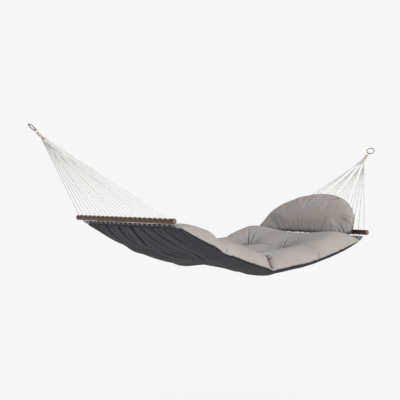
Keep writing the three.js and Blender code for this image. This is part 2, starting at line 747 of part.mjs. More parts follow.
function addStraps() {
  const outline = new THREE.Shape(strapOutline(0));
  outline.holes.push(new THREE.Path(strapOutline(STRAP_THICKNESS).reverse()));
  STRAP_EYELETS.forEach((eyelet, index) => {
    const place = eyeletAcross(eyelet) - STRAP_SHIFT;
    const band = new THREE.ExtrudeGeometry(outline, { depth: STRAP_WIDTH, bevelEnabled: false });
    const plane = new THREE.Matrix4().makeBasis(
      head.up, head.out, new THREE.Vector3().crossVectors(head.up, head.out));
    band.translate(0, 0, -STRAP_WIDTH / 2);
    band.applyMatrix4(plane);
    const strap = addPart(hammock, `pillow_strap_${index + 1}`, band, "charcoal");
    strap.position.copy(head.bar).addScaledVector(across, place);
  });
}

addHangingPoint(foot, FOOT_RING_TWIST);
addHangingPoint(head, HEAD_RING_TWIST);
addBar(foot);
addBar(head);
addCords(foot);
addCords(head);
addPart(hammock, "foot_hem", hemGeometry(foot), "charcoal");
addPart(hammock, "head_hem", hemGeometry(head), "charcoal");
addBed();
addPillow();
addStraps();

// The origin is the hook's seat: the flat facet inside the foot ring's outer tip
const seatReach = ringCentre + ringInnerFlat;
const hookSeat = foot.bearing.clone().addScaledVector(foot.up, seatReach);
hammock.position.copy(hookSeat).negate();

export default root;
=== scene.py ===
# Quilted hammock: a tufted bed and a half-round pillow between two wooden spreader bars,
# slung by fans of laid cord from a steel ring at each end.
# Metres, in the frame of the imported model: X from the foot to the head, Y across, Z up.

import math

import bmesh
import bpy
import numpy as np
from mathutils import Matrix, Vector


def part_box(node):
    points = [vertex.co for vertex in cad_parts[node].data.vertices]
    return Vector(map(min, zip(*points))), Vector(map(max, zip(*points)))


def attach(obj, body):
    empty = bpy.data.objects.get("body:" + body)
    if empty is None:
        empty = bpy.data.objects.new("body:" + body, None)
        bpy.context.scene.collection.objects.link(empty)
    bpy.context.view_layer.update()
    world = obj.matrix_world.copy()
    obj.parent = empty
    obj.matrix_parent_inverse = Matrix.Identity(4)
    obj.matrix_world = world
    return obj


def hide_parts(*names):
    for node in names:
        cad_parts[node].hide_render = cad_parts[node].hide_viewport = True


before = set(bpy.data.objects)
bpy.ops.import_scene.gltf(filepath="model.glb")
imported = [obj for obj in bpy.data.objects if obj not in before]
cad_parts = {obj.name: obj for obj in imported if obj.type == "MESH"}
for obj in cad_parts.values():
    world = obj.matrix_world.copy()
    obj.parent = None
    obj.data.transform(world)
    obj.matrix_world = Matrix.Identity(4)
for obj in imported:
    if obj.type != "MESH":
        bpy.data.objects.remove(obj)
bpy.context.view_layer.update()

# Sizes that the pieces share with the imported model
BAR_LENGTH = 1.4
BAR_RADIUS = 0.021
RING_RADIUS = 0.034
RING_WIRE = 0.008
RING_TWISTS = {"foot": -5, "head": 27}
EYE_ROPE = 0.006
EYE_WIDTH = 0.022
EYE_GAP = 0.00072
NECK_TOP = 0.024
NECK_LENGTH = 0.076
NECK_RADIUS = 0.008
FLARE_START = 0.068
FLARE_ACROSS = 0.043
FLARE_DEPTH = 0.027
WHIP_CORD = 0.0032
WHIP_TURNS = 8
WHIP_PITCH = 0.004
WHIP_START = 0.031
CORD_DIAMETER = 0.0036
STRAND_SPACING = 0.0049
PAIR_COLUMNS = 4
PAIR_ROWS = 5
PAIR_ROW_SPACING = 0.005
HOLE_COUNT = 20
HOLE_SPAN = 1.29
HOLE_DIAMETER = 0.01
HEM_THICKNESS = 0.005
HEM_EDGE = 0.046
HEM_END = 0.075
HEM_SLOPES = {"foot": 33, "head": 42}
EYELET_INSET = 0.016
EYELET_DIAMETER = 0.009
BED_WIDTH = 1.376
HEM_SIDE_MARGIN = 0.016
CORNER_WEBBING = 0.061
EYELET_SPAN = BED_WIDTH - 2 * HEM_SIDE_MARGIN
RUNNING_GAP = 0.0003
LAYER_GAP = 0.0004

ACROSS = Vector((0, 1, 0))


def middle(node):
    low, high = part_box(node)
    return (low + high) / 2


class End:
    """One end of the hammock: its bar, the line of its cords and the line of its hem."""

    def __init__(self, name, side):
        self.name = name
        self.side = side
        self.bar = middle(f"{name}_spreader_bar")
        self.ring = middle(f"{name}_ring")
        self.up = (self.ring - self.bar).normalized()
        self.bearing = self.ring - self.up * (RING_RADIUS - (RING_WIRE + EYE_GAP) / 2)
        self.length = (self.bearing - self.bar).length
        self.out = Vector((-side * self.up.z, 0, side * self.up.x))
        slope = math.radians(HEM_SLOPES[name])
        self.hem = Vector((-side * math.cos(slope), 0, -math.sin(slope)))
        self.hem_out = Vector((-side * math.sin(slope), 0, math.cos(slope)))

    def by_bar(self, along, y, out):
        return self.bar + self.up * along + ACROSS * y + self.out * out

    def by_hem(self, down, y, out):
        return self.bar + self.hem * down + ACROSS * y + self.hem_out * out

    def at_eyelet(self, eyelet):
        """Frame with its origin in the middle of an eyelet and +Z out of the hem."""
        turn = Vector((0, 0, 1)).rotation_difference(self.hem_out).to_matrix().to_4x4()
        place = self.by_hem(HEM_EDGE + EYELET_INSET, eyelet_across(eyelet), 0)
        return Matrix.Translation(place) @ turn

    def hanging(self, twist=0):
        """Frame with +Z up the cords and its origin where the eye bears on the ring."""
        normal = ACROSS.cross(self.up)
        basis = Matrix((normal, ACROSS, self.up)).transposed().to_4x4()
        turn = Matrix.Rotation(math.radians(twist), 4, "Z")
        return Matrix.Translation(self.bearing) @ basis @ turn


FOOT = End("foot", -1)
HEAD = End("head", 1)
CENTRE = Vector(((FOOT.bar.x + HEAD.bar.x) / 2, 0, FOOT.bar.z))


def hole_across(hole):
    return HOLE_SPAN / 2 - hole * HOLE_SPAN / (HOLE_COUNT - 1)


def eyelet_across(eyelet):
    return EYELET_SPAN / 2 - eyelet * EYELET_SPAN / HOLE_COUNT


# Materials
def tone(red, green, blue):
    """A colour given as it looks on screen, 0 to 255, in the renderer's linear values."""
    def linear(value):
        share = value / 255
        return share / 12.92 if share <= 0.04045 else ((share + 0.055) / 1.055) ** 2.4
    return (linear(red), linear(green), linear(blue), 1)


def scaled(colour, factor):
    return tuple(min(1.0, value * factor) for value in colour[:3]) + (1,)


class Nodes:
    """A node tree, made one call at a time."""

    def __init__(self, tree):
        self.tree = tree

    def add(self, kind, inputs=None, **settings):
        node = self.tree.nodes.new(kind)
        for key, value in settings.items():
            setattr(node, key, value)
        for key, value in (inputs or {}).items():
            if isinstance(value, bpy.types.NodeSocket):
                self.tree.links.new(value, node.inputs[key])
            else:
                node.inputs[key].default_value = value
        return node

    def math(self, operation, first, second=0.0):
        return self.add("ShaderNodeMath", {0: first, 1: second}, operation=operation).outputs[0]


class Graph(Nodes):
    """The nodes of one material round its shader."""

    def __init__(self, name, roughness, **sockets):
        self.material = bpy.data.materials.new(name)
        self.material.use_nodes = True
        super().__init__(self.material.node_tree)
        self.shader = self.tree.nodes["Principled BSDF"]
        self.shader.inputs["Roughness"].default_value = roughness
        for key, value in sockets.items():
            self.shader.inputs[key.replace("_", " ")].default_value = value

    def weighed(self, *parts):
        """The sum of several values, each given with its weight."""
        products = [self.math("MULTIPLY", value, weight) for value, weight in parts]
        total = products[0]
        for product in products[1:]:
            total = self.math("ADD", total, product)
        return total

    def axes(self, place):
        """The X, Y and Z of a place."""
        return self.add("ShaderNodeSeparateXYZ", {0: place}).outputs

    def spread(self, value, low, high, new_low, new_high):
        names = ("Value", "From Min", "From Max", "To Min", "To Max")
        inputs = dict(zip(names, (value, low, high, new_low, new_high)))
        return self.add("ShaderNodeMapRange", inputs).outputs["Result"]

    def object_place(self, scale=(1, 1, 1), origin=(0, 0, 0)):
        place = self.add("ShaderNodeTexCoord").outputs["Object"]
        moved = self.add("ShaderNodeVectorMath", {0: place, 1: origin}, operation="SUBTRACT")
        return self.add("ShaderNodeVectorMath", {0: moved.outputs[0], 1: scale},
                        operation="MULTIPLY").outputs[0]

    def uv_place(self, scale=(1, 1, 1)):
        place = self.add("ShaderNodeUVMap", uv_map="UVMap").outputs["UV"]
        return self.add("ShaderNodeVectorMath", {0: place, 1: scale}, operation="MULTIPLY").outputs[0]

    def noise(self, place, scale, detail=2.0, roughness=0.5):
        inputs = {"Vector": place, "Scale": scale, "Detail": detail, "Roughness": roughness}
        return self.add("ShaderNodeTexNoise", inputs).outputs["Fac"]

    def ramp(self, value, stops):
        node = self.add("ShaderNodeValToRGB", {"Fac": value})
        elements = node.color_ramp.elements
        while len(elements) < len(stops):
            elements.new(0.5)
        for element, (position, colour) in zip(elements, stops):
            element.position = position
            element.color = colour
        return node.outputs["Color"]

    def mix(self, share, first, second, blend="MIX"):
        node = self.add("ShaderNodeMix", data_type="RGBA", blend_type=blend)
        for socket, value in zip((node.inputs[0], node.inputs[6], node.inputs[7]), (share, first, second)):
            if isinstance(value, bpy.types.NodeSocket):
                self.tree.links.new(value, socket)
            else:
                socket.default_value = value
        return node.outputs[2]

    def colour(self, socket):
        self.tree.links.new(socket, self.shader.inputs["Base Color"])

    def rough(self, socket):
        self.tree.links.new(socket, self.shader.inputs["Roughness"])

    def bump(self, height, strength, distance):
        inputs = {"Height": height, "Strength": strength, "Distance": distance}
        node = self.add("ShaderNodeBump", inputs)
        self.tree.links.new(node.outputs["Normal"], self.shader.inputs["Normal"])


def canvas(name, light, dark, thread=0.0009, corners=None):
    """Plain-woven outdoor canvas: warp and weft threads, slubs, and a little fading over the piece.

    With corners, the two ends of the piece across the hammock are webbing of those two tones."""
    graph = Graph(name, 0.9, Specular_IOR_Level=0.2, Sheen_Weight=0.04, Sheen_Roughness=0.6)
    cloth_axes = graph.axes(graph.uv_place())
    warp, weft = [graph.math("SINE", graph.math("MULTIPLY", cloth_axes[axis], math.tau / thread))
                  for axis in ("X", "Y")]
    weave = graph.math("MULTIPLY", warp, weft)
    slubs = graph.math("ADD", *[graph.noise(graph.uv_place(stretch), 1.0, 3.0)
                                for stretch in ((40, 900, 1), (900, 40, 1))])
    clouds = graph.noise(graph.object_place(), 5.0, 3.0)
    painted_shading_level = graph.add("ShaderNodeAttribute", attribute_name="painted_shading").outputs["Fac"]
    shade = graph.weighed((slubs, 0.35), (clouds, 0.5))
    cloth = graph.ramp(shade, [(0.15, dark), (0.85, light)])
    if corners:
        far_out = graph.math("ABSOLUTE", graph.axes(graph.object_place())["Y"])
        inner = BED_WIDTH / 2 - CORNER_WEBBING
        patch = graph.spread(far_out, inner - 0.001, inner + 0.001, 0.0, 1.0)
        cloth = graph.mix(patch, cloth, graph.ramp(shade, [(0.15, corners[1]), (0.85, corners[0])]))
    # Painted highlight: below 0 the attribute lightens the cloth, on the ridges of folds and gathers.
    cloth = graph.mix(graph.spread(painted_shading_level, 0.0, -1.0, 0.0, 0.8), cloth, scaled(light, 2.2))
    # Painted shade: above 0 the attribute darkens the cloth, in creases, round tufts and along seams.
    graph.colour(graph.mix(graph.spread(painted_shading_level, 0.0, 1.0, 0.0, 0.9), cloth, scaled(dark, 0.15)))
    graph.bump(graph.weighed((weave, 0.35), (slubs, 0.5)), 0.35, 0.0004)
    graph.rough(graph.spread(slubs, 0.6, 1.4, 0.82, 0.95))
    return graph.material


def laid_cord(name, light, dark, lay=3, pitch=0.011):
    """Three-strand cord: the UV map runs once round it and in metres along it."""
    graph = Graph(name, 0.75, Sheen_Weight=0.1)
    cord_axes = graph.axes(graph.uv_place())
    turn = graph.weighed((cord_axes["X"], float(lay)), (cord_axes["Y"], 1 / pitch * lay))
    turn = graph.math("FRACT", turn)
    crown = graph.math("SINE", graph.math("MULTIPLY", turn, math.pi))
    fibres = graph.noise(graph.uv_place((6, 900, 1)), 1.0, 2.0)
    fade = graph.noise(graph.object_place(), 9.0, 2.0)
    # Painted shade: the colour is darker in the grooves between the strands, where the crown is low;
    # fibres and fade add real tone.
    shade = graph.weighed((crown, 0.7), (fibres, 0.2), (fade, 0.2))
    graph.colour(graph.ramp(shade, [(0.1, dark), (0.75, light)]))
    graph.bump(graph.math("ADD", crown, graph.math("MULTIPLY", fibres, 0.25)), 0.6, 0.0006)
    return graph.material


def stained_hardwood(end, low, mid, high):
    """Oil-stained hardwood turned to a round bar: darker in its pores and along its upper side,
    with bare end grain inside a dark rim."""
    graph = Graph(f"{end.name}_stained_hardwood", 0.5, Specular_IOR_Level=0.3, Coat_Weight=0.06,
                  Coat_Roughness=0.35)
    long_grain = graph.noise(graph.object_place((70, 2.2, 70)), 1.0, 5.0, 0.6)
    pores = graph.noise(graph.object_place((420, 9, 420)), 1.0, 2.0, 0.7)
    clouds = graph.noise(graph.object_place((6, 1.4, 6)), 1.0, 2.0)
    grain = graph.weighed((long_grain, 0.7), (clouds, 0.3))
    wood = graph.ramp(grain, [(0.25, low), (0.48, mid), (0.7, high)])
    pitted = graph.spread(pores, 0.52, 0.68, 1.0, 0.6)
    wood = graph.mix(1.0, wood, graph.ramp(pitted, [(0, (0, 0, 0, 1)), (1, (1, 1, 1, 1))]), "MULTIPLY")
    section = graph.object_place((1 / BAR_RADIUS, 0, 1 / BAR_RADIUS), tuple(end.bar))
    # The colour is made darker along the bar's upper side, from a little below its middle to the top.
    upper_side_dark = graph.math("MULTIPLY", graph.spread(graph.axes(section)["Z"], -0.2, 0.3, 0.0, 1.0), 0.8)
    wood = graph.mix(upper_side_dark, wood, scaled(low, 0.45))
    end_share = graph.spread(graph.math("ABSOLUTE", graph.axes(graph.object_place())["Y"]),
                             BAR_LENGTH / 2 - 0.004, BAR_LENGTH / 2 - 0.001, 0.0, 1.0)
    rings = graph.noise(graph.object_place((90, 0, 130)), 1.0, 3.0)
    end_grain = graph.ramp(rings, [(0.3, tone(98, 90, 82)), (0.7, tone(136, 127, 116))])
    radius = graph.add("ShaderNodeVectorMath", {0: section}, operation="LENGTH").outputs["Value"]
    end_grain = graph.mix(graph.spread(radius, 0.66, 0.8, 0.0, 1.0), end_grain, low)
    graph.colour(graph.mix(end_share, wood, end_grain))
    graph.rough(graph.spread(long_grain, 0.3, 0.7, 0.42, 0.62))
    graph.bump(graph.math("SUBTRACT", long_grain, graph.math("MULTIPLY", pores, 0.4)), 0.25, 0.0006)
    return graph.material


def dull_steel(name, colour, roughness):
    """Zinc-plated steel wire, dulled outdoors, with fine drawing marks."""
    graph = Graph(name, roughness, Metallic=1.0)
    tarnish = graph.noise(graph.object_place(), 160.0, 4.0, 0.65)
    spots = graph.noise(graph.object_place(), 900.0, 2.0)
    graph.colour(graph.ramp(tarnish, [(0.3, scaled(colour, 0.55)), (0.52, colour),
                                      (0.75, scaled(colour, 1.5))]))
    graph.rough(graph.spread(tarnish, 0.3, 0.7, roughness - 0.08, roughness + 0.14))
    graph.bump(graph.math("ADD", tarnish, spots), 0.12, 0.0002)
    return graph.material


TAUPE = canvas("taupe_canvas", tone(184, 178, 174), tone(154, 147, 142))
CHARCOAL = canvas("charcoal_canvas", tone(70, 68, 73), tone(46, 44, 48))
HEM_CANVAS = {
    FOOT: canvas("foot_hem_canvas", tone(70, 68, 73), tone(46, 44, 48),
                 corners=(tone(178, 180, 178), tone(132, 134, 133))),
    HEAD: canvas("head_hem_canvas", tone(70, 68, 73), tone(46, 44, 48),
                 corners=(tone(142, 156, 162), tone(108, 122, 130))),
}
CORD = laid_cord("off_white_cord", tone(250, 250, 246), tone(222, 221, 214))
NECK_CORD = laid_cord("weathered_cord", tone(226, 216, 204), tone(160, 146, 132), pitch=0.016)
WOOD = {
    FOOT: stained_hardwood(FOOT, tone(66, 44, 36), tone(104, 74, 62), tone(126, 92, 78)),
    HEAD: stained_hardwood(HEAD, tone(66, 34, 36), tone(100, 62, 62), tone(140, 104, 104)),
}
STEEL = dull_steel("dull_steel", tone(118, 119, 122), 0.38)
NICKEL = dull_steel("eyelet_nickel", tone(170, 168, 162), 0.3)
THREAD = laid_cord("sewing_thread", tone(150, 145, 140), tone(96, 92, 90), pitch=0.003)


# Making pieces
def piece_from(name, mesh, material, smooth=True):
    obj = bpy.data.objects.new(name, mesh)
    bpy.context.scene.collection.objects.link(obj)
    if material:
        mesh.materials.clear()
        mesh.materials.append(material)
    if smooth:
        mesh.shade_smooth()
    return obj


def piece_from_bmesh(name, bm, material, smooth=True):
    mesh = bpy.data.meshes.new(name)
    bmesh.ops.recalc_face_normals(bm, faces=bm.faces)
    bm.to_mesh(mesh)
    bm.free()
    return piece_from(name, mesh, material, smooth)


def made_final(obj):
    """The object with its modifiers applied to its mesh."""
    graph = bpy.context.evaluated_depsgraph_get()
    mesh = bpy.data.meshes.new_from_object(obj.evaluated_get(graph))
    old = obj.data
    obj.modifiers.clear()
    obj.data = mesh
    bpy.data.meshes.remove(old)
    return obj


def settle(obj, body, slot, *nodes):
    """The piece rides on its body and stands for the nodes, which are hidden. The slot is not used."""
    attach(obj, body)
    if nodes:
        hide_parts(*nodes)


def discard(obj):
    """Removes a helper object and its mesh."""
    mesh = obj.data
    bpy.data.objects.remove(obj)
    bpy.data.meshes.remove(mesh)


def closed_loop(bm, verts):
    return [bm.edges.new(pair) for pair in zip(verts, verts[1:] + verts[:1])]


def extruded(bm, edges):
    """The vertices and edges at the far end of a band of faces drawn out from the edges."""
    made = bmesh.ops.extrude_edge_only(bm, edges=edges)["geom"]
    verts = [item for item in made if isinstance(item, bmesh.types.BMVert)]
    return verts, [item for item in made if isinstance(item, bmesh.types.BMEdge)
                   and all(vert in verts for vert in item.verts)]


def turned(bm, geometry, axis, steps):
    """Spins a profile once round an axis through the origin."""
    bmesh.ops.spin(bm, geom=geometry, cent=(0, 0, 0), axis=axis, dvec=(0, 0, 0), angle=math.tau,
                   steps=steps, use_merge=True, use_duplicate=False)


def bore(bm, place, depth, radius, far_radius=None):
    """Adds a cylinder or cone to the shapes that are cut out of a piece."""
    bmesh.ops.create_cone(bm, cap_ends=True, segments=20, radius1=radius,
                          radius2=far_radius or radius, depth=depth, matrix=place)


def rounded(points, radius, steps=5):
    """A route whose corners are turned into arcs of up to that radius."""
    route = [points[0]]
    for before, corner, after in zip(points, points[1:], points[2:]):
        back = before - corner
        ahead = after - corner
        angle = back.angle(ahead)
        if angle > math.radians(176):
            route.append(corner)
            continue
        reach = min(radius / math.tan(angle / 2), 0.48 * back.length, 0.48 * ahead.length)
        start = corner + back.normalized() * reach
        end = corner + ahead.normalized() * reach
        for step in range(steps + 1):
            share = step / steps
            route.append(start * (1 - share) ** 2 + corner * 2 * share * (1 - share) + end * share ** 2)
    route.append(points[-1])
    return route


def cord_mesh(name, routes, diameter, sides=8, section=None, pitch=None):
    """One mesh of round cords along the routes, its UV map once round and in metres along."""
    curve = bpy.data.curves.new(name, "CURVE")
    curve.dimensions = "3D"
    curve.use_fill_caps = True
    curve.twist_mode = "MINIMUM"
    if section:
        curve.bevel_mode = "OBJECT"
        curve.bevel_object = section
    else:
        curve.bevel_depth = diameter / 2
        curve.bevel_resolution = (sides - 4) // 2
    lengths = []
    for route in routes:
        spline = curve.splines.new("POLY")
        spline.points.add(len(route) - 1)
        run = 0.0
        runs = []
        for index, point in enumerate(route):
            if index:
                run += (point - route[index - 1]).length
            runs.append(run)
            spline.points[index].co = (*point, 1)
            if pitch:
                spline.points[index].tilt = math.tau * run / pitch
        lengths.append(runs)
    holder = bpy.data.objects.new(name, curve)
    bpy.context.scene.collection.objects.link(holder)
    graph = bpy.context.evaluated_depsgraph_get()
    mesh = bpy.data.meshes.new_from_object(holder.evaluated_get(graph))
    bpy.data.objects.remove(holder)
    if len(routes) == 1 and mesh.uv_layers:
        layer = mesh.uv_layers[0]
        layer.name = "UVMap"
        uv = np.zeros(len(layer.data) * 2, np.float32)
        layer.data.foreach_get("uv", uv)
        uv = uv.reshape(-1, 2)
        runs = np.array(lengths[0], np.float32)
        uv[:, 1] = np.interp(uv[:, 1] * (len(runs) - 1), np.arange(len(runs)), runs)
        layer.data.foreach_set("uv", uv.ravel())
    mesh.name = name
    return mesh


def strand_section(diameter, strands=3, steps=24):
    """Cross-section of a laid rope: round strands that stand proud of its middle."""
    curve = bpy.data.curves.new("strand_section", "CURVE")
    curve.dimensions = "2D"
    spline = curve.splines.new("POLY")
    spline.points.add(steps - 1)
    spline.use_cyclic_u = True
    for step in range(steps):
        angle = step * math.tau / steps
        bulge = abs(math.cos(angle * strands / 2))
        radius = diameter / 2 * (0.78 + 0.22 * bulge ** 0.6)
        spline.points[step].co = (radius * math.cos(angle), radius * math.sin(angle), 0, 1)
    obj = bpy.data.objects.new("strand_section", curve)
    bpy.context.scene.collection.objects.link(obj)
    return obj


# Rings, rope eyes, necks and whippings
def add_ring(end):
    centre_reach = RING_RADIUS - (RING_WIRE + EYE_GAP) / 2
    weld_angle, weld_width, weld_swell = math.radians(35), math.radians(5), 0.1
    bm = bmesh.new()
    wire = bmesh.ops.create_circle(bm, segments=16, radius=RING_WIRE / 2,
                                   matrix=Matrix.Translation((0, RING_RADIUS, 0)))["verts"]
    turned(bm, wire + list(bm.edges), (1, 0, 0), 96)
    for vert in bm.verts:
        angle = math.atan2(vert.co.z, vert.co.y)
        spine = Vector((0, RING_RADIUS * math.cos(angle), RING_RADIUS * math.sin(angle)))
        swell = 1 + weld_swell * math.exp(-((angle - weld_angle) / weld_width) ** 2)
        vert.co = spine + (vert.co - spine) * swell
    place = end.hanging(RING_TWISTS[end.name]) @ Matrix.Translation((0, 0, centre_reach))
    bmesh.ops.transform(bm, matrix=place, verts=bm.verts)
    ring = piece_from_bmesh(f"{end.name}_hanging_ring", bm, STEEL)
    settle(ring, "rings", "ring_steel", f"{end.name}_ring")


def eye_route():
    half = EYE_WIDTH / 2
    top = EYE_GAP / 2 + EYE_ROPE / 2
    low = -NECK_TOP - EYE_ROPE
    arc = []
    for step in range(25):
        angle = math.pi - step * math.pi / 24
        arc.append(Vector((half * math.cos(angle), 0, top - half + half * math.sin(angle))))
    sides = [Vector((half, 0, top - half - EYE_WIDTH / 2)), Vector((half / 2, 0, low))]
    mirrored = [Vector((-point.x, 0, point.z)) for point in reversed(sides)]
    return mirrored + arc + sides


def evenly(route, spacing):
    """The same route with points at an even spacing."""
    runs = [0.0]
    for before, after in zip(route, route[1:]):
        runs.append(runs[-1] + (after - before).length)
    count = max(2, round(runs[-1] / spacing))
    wanted = np.linspace(0, runs[-1], count + 1)
    columns = [np.interp(wanted, runs, [point[axis] for point in route]) for axis in range(3)]
    return [Vector(place) for place in zip(*columns)]


def add_eye(end, section):
    route = evenly(rounded(eye_route(), 0.012), 0.0015)
    mesh = cord_mesh(f"{end.name}_eye_rope", [route], EYE_ROPE, section=section, pitch=0.017)
    mesh.transform(end.hanging(RING_TWISTS[end.name]))
    eye = piece_from(f"{end.name}_eye_rope", mesh, NECK_CORD)
    settle(eye, "sling", "cord", f"{end.name}_rope_eye")


def add_neck(end):
    """The bundle of strands below the eye, round under the whipping and spread where the cords leave."""
    lobes, per_lobe, sections = 20, 4, 22
    bottom = NECK_TOP + NECK_LENGTH
    bm = bmesh.new()
    level = bmesh.ops.create_circle(bm, cap_ends=True, segments=lobes * per_lobe, radius=1)["verts"]
    edges = list(bm.edges)
    levels = [level]
    for _ in range(sections):
        level, edges = extruded(bm, edges)
        levels.append(level)
    bmesh.ops.contextual_create(bm, geom=edges)
    for index, level in enumerate(levels):
        down = NECK_TOP + NECK_LENGTH * index / sections
        spread = max(0.0, (down - FLARE_START) / (bottom - FLARE_START)) ** 1.5
        shoulder = min(1.0, (down - NECK_TOP) / 0.005)
        round_radius = NECK_RADIUS - 0.005 * (1 - math.sqrt(shoulder * (2 - shoulder)))
        depth = round_radius + (FLARE_DEPTH / 2 - NECK_RADIUS) * spread
        width = round_radius + (FLARE_ACROSS / 2 - NECK_RADIUS) * spread
        power = 2 + 0.6 * spread
        for vert in level:
            angle = math.atan2(vert.co.y, vert.co.x)
            x, y = math.cos(angle), math.sin(angle)
            reach = (abs(x) ** power + abs(y) ** power) ** (-1 / power)
            flute = 1 - 0.1 * (1 - abs(math.cos(angle * lobes / 2 + 14 * down))) ** 0.7
            vert.co = Vector((depth * x * reach * flute, width * y * reach * flute, -down))
    bmesh.ops.transform(bm, matrix=end.hanging(), verts=bm.verts)
    neck = piece_from_bmesh(f"{end.name}_neck_bundle", bm, NECK_CORD)
    neck.data.set_sharp_from_angle(angle=math.radians(60))
    settle(neck, "sling", "cord")


def add_whipping(end):
    steps_per_turn = 28
    radius = NECK_RADIUS + RUNNING_GAP + WHIP_CORD / 2
    route = []
    for step in range(WHIP_TURNS * steps_per_turn + 1):
        angle = step * math.tau / steps_per_turn
        down = WHIP_START + step * WHIP_PITCH / steps_per_turn + WHIP_CORD / 2
        route.append(Vector((radius * math.cos(angle), radius * math.sin(angle), -down)))
    mesh = cord_mesh(f"{end.name}_whipping_cord", [route], WHIP_CORD, sides=10)
    mesh.transform(end.hanging())
    whipping = piece_from(f"{end.name}_whipping_cord", mesh, NECK_CORD)
    settle(whipping, "sling", "cord", f"{end.name}_whipping")


# Spreader bars
def add_bar(end):
    half = BAR_LENGTH / 2
    rounding, round_steps, facets = 0.006, 6, 64
    profile = [(0.0, -half)]
    for tip in (-1, 1):
        for step in range(round_steps + 1):
            share = (step if tip < 0 else round_steps - step) / round_steps
            turn = share * math.pi / 2
            profile.append((BAR_RADIUS - rounding * (1 - math.sin(turn)),
                            tip * (half - rounding * (1 - math.cos(turn)))))
    profile.append((0.0, half))
    bm = bmesh.new()
    verts = [bm.verts.new((radius, y, 0)) for radius, y in profile]
    edges = [bm.edges.new(pair) for pair in zip(verts, verts[1:])]
    turned(bm, verts + edges, (0, 1, 0), facets)
    bmesh.ops.remove_doubles(bm, verts=bm.verts, dist=1e-6)
    place = end.hanging() @ Matrix.Translation((0, 0, -end.length))
    bmesh.ops.transform(bm, matrix=place, verts=bm.verts)
    bar = piece_from_bmesh(f"{end.name}_bar", bm, WOOD[end])
    drill = bmesh.new()
    narrow, wide = HOLE_DIAMETER / 2 + 0.0014, HOLE_DIAMETER / 2 + 0.0034
    for hole in range(HOLE_COUNT):
        across = hole_across(hole)
        bore(drill, place @ Matrix.Translation((0, across, 0)), BAR_RADIUS * 3, HOLE_DIAMETER / 2)
        for face, radii in ((-1, (wide, narrow)), (1, (narrow, wide))):
            mouth = Matrix.Translation((0, across, face * (BAR_RADIUS + 0.0008)))
            bore(drill, place @ mouth, 0.002, *radii)
    cut(bar, drill)
    bar.data.set_sharp_from_angle(angle=math.radians(35))
    settle(bar, "sling", "stained_hardwood", f"{end.name}_spreader_bar")


def cut(obj, cutter):
    """Takes the cutter's shapes out of the object."""
    tool = piece_from_bmesh("cutter", cutter, None, smooth=False)
    modifier = obj.modifiers.new("Cut", "BOOLEAN")
    modifier.operation = "DIFFERENCE"
    modifier.solver = "EXACT"
    modifier.use_self = True
    modifier.object = tool
    made_final(obj)
    discard(tool)


# Nettle cords
def strand_down(end, hole, offset):
    column, row = divmod(hole, PAIR_ROWS)
    start_across = ((PAIR_COLUMNS - 1) / 2 - column) * 2 * STRAND_SPACING + offset
    start_out = (row - (PAIR_ROWS - 1) / 2) * PAIR_ROW_SPACING
    reach = BAR_RADIUS + 0.003
    face = end.length - NECK_TOP - NECK_LENGTH
    entry = end.by_bar(reach, hole_across(hole) + offset, 0)
    start = end.by_bar(face - RUNNING_GAP, start_across, start_out)
    inside = start + (start - entry).normalized() * 0.004
    leave = end.by_bar(-reach, hole_across(hole) + offset, 0)
    return [inside, entry, leave]


def eyelet_turn(end, eyelet, face, hole, offset):
    over_edge = (HEM_THICKNESS + CORD_DIAMETER) / 2 + 3 * RUNNING_GAP
    at_brink = CORD_DIAMETER + 2 * RUNNING_GAP
    eyelet_down = HEM_EDGE + EYELET_INSET
    leg_across = hole_across(hole) + offset - eyelet_across(eyelet)
    leg_down = eyelet_down - BAR_RADIUS - 0.003

    def place(before, out):
        y = eyelet_across(eyelet) + leg_across * before / leg_down
        return end.by_hem(eyelet_down - before, y, face * out)
    return [place(EYELET_INSET + CORD_DIAMETER / 2, over_edge), place(CORD_DIAMETER / 6, at_brink)]


def add_cord(node, route):
    mesh = cord_mesh(f"{node}_laid", [rounded(route, 0.005)], CORD_DIAMETER, sides=10)
    cord = piece_from(f"{node}_laid", mesh, CORD)
    settle(cord, "sling", "cord", node)


def add_cords(end):
    offset = STRAND_SPACING / 2
    for eyelet in range(1, HOLE_COUNT):
        first = strand_down(end, eyelet - 1, -offset) + eyelet_turn(end, eyelet, 1, eyelet - 1, -offset)
        second = strand_down(end, eyelet, offset) + eyelet_turn(end, eyelet, -1, eyelet, offset)
        add_cord(f"{end.name}_nettle_cord_{eyelet:02d}", first + second[::-1])
    for side, hole, eyelet, sign in (("far", 0, 0, 1), ("near", HOLE_COUNT - 1, HOLE_COUNT, -1)):
        route = strand_down(end, hole, sign * offset) + eyelet_turn(end, eyelet, 1, hole, sign * offset)
        knot = end.by_hem(HEM_EDGE + EYELET_INSET, eyelet_across(eyelet), -HEM_THICKNESS / 2 - 0.0055)
        route += [knot + end.hem_out * 0.004] + stopper_knot(end, knot)
        add_cord(f"{end.name}_corner_cord_{side}", route)


def stopper_knot(end, centre):
    """A drawn-up overhand knot with a short tail."""
    size, steps = 0.00115, 30
    route = []
    for step in range(steps):
        turn = step * math.tau / steps
        x = math.sin(turn) + 2 * math.sin(2 * turn)
        y = math.cos(turn) - 2 * math.cos(2 * turn)
        z = -math.sin(3 * turn)
        route.append(centre + (end.hem * x + ACROSS * y + end.hem_out * z * 1.4) * size)
    return route + [centre - end.hem_out * 0.004]


# Hems, their eyelets and stitching. The cords draw the hem's edge into shallow scallops.
SCALLOP_DEPTH = 0.0016
SCALLOP_REACH = 0.03
STITCH_PITCH = 0.0068
STITCH_LENGTH = 0.0048
BED_HALF = (HEAD.bar.x - FOOT.bar.x) / 2 - HEM_END


def hem_reach(end):
    """How far down from the bar the hem meets the bed."""
    return (HEM_END - LAYER_GAP) / abs(end.hem.x)


def hem_ripple(y, down):
    return 0.0004 * math.sin(y * 61 + down * 90)


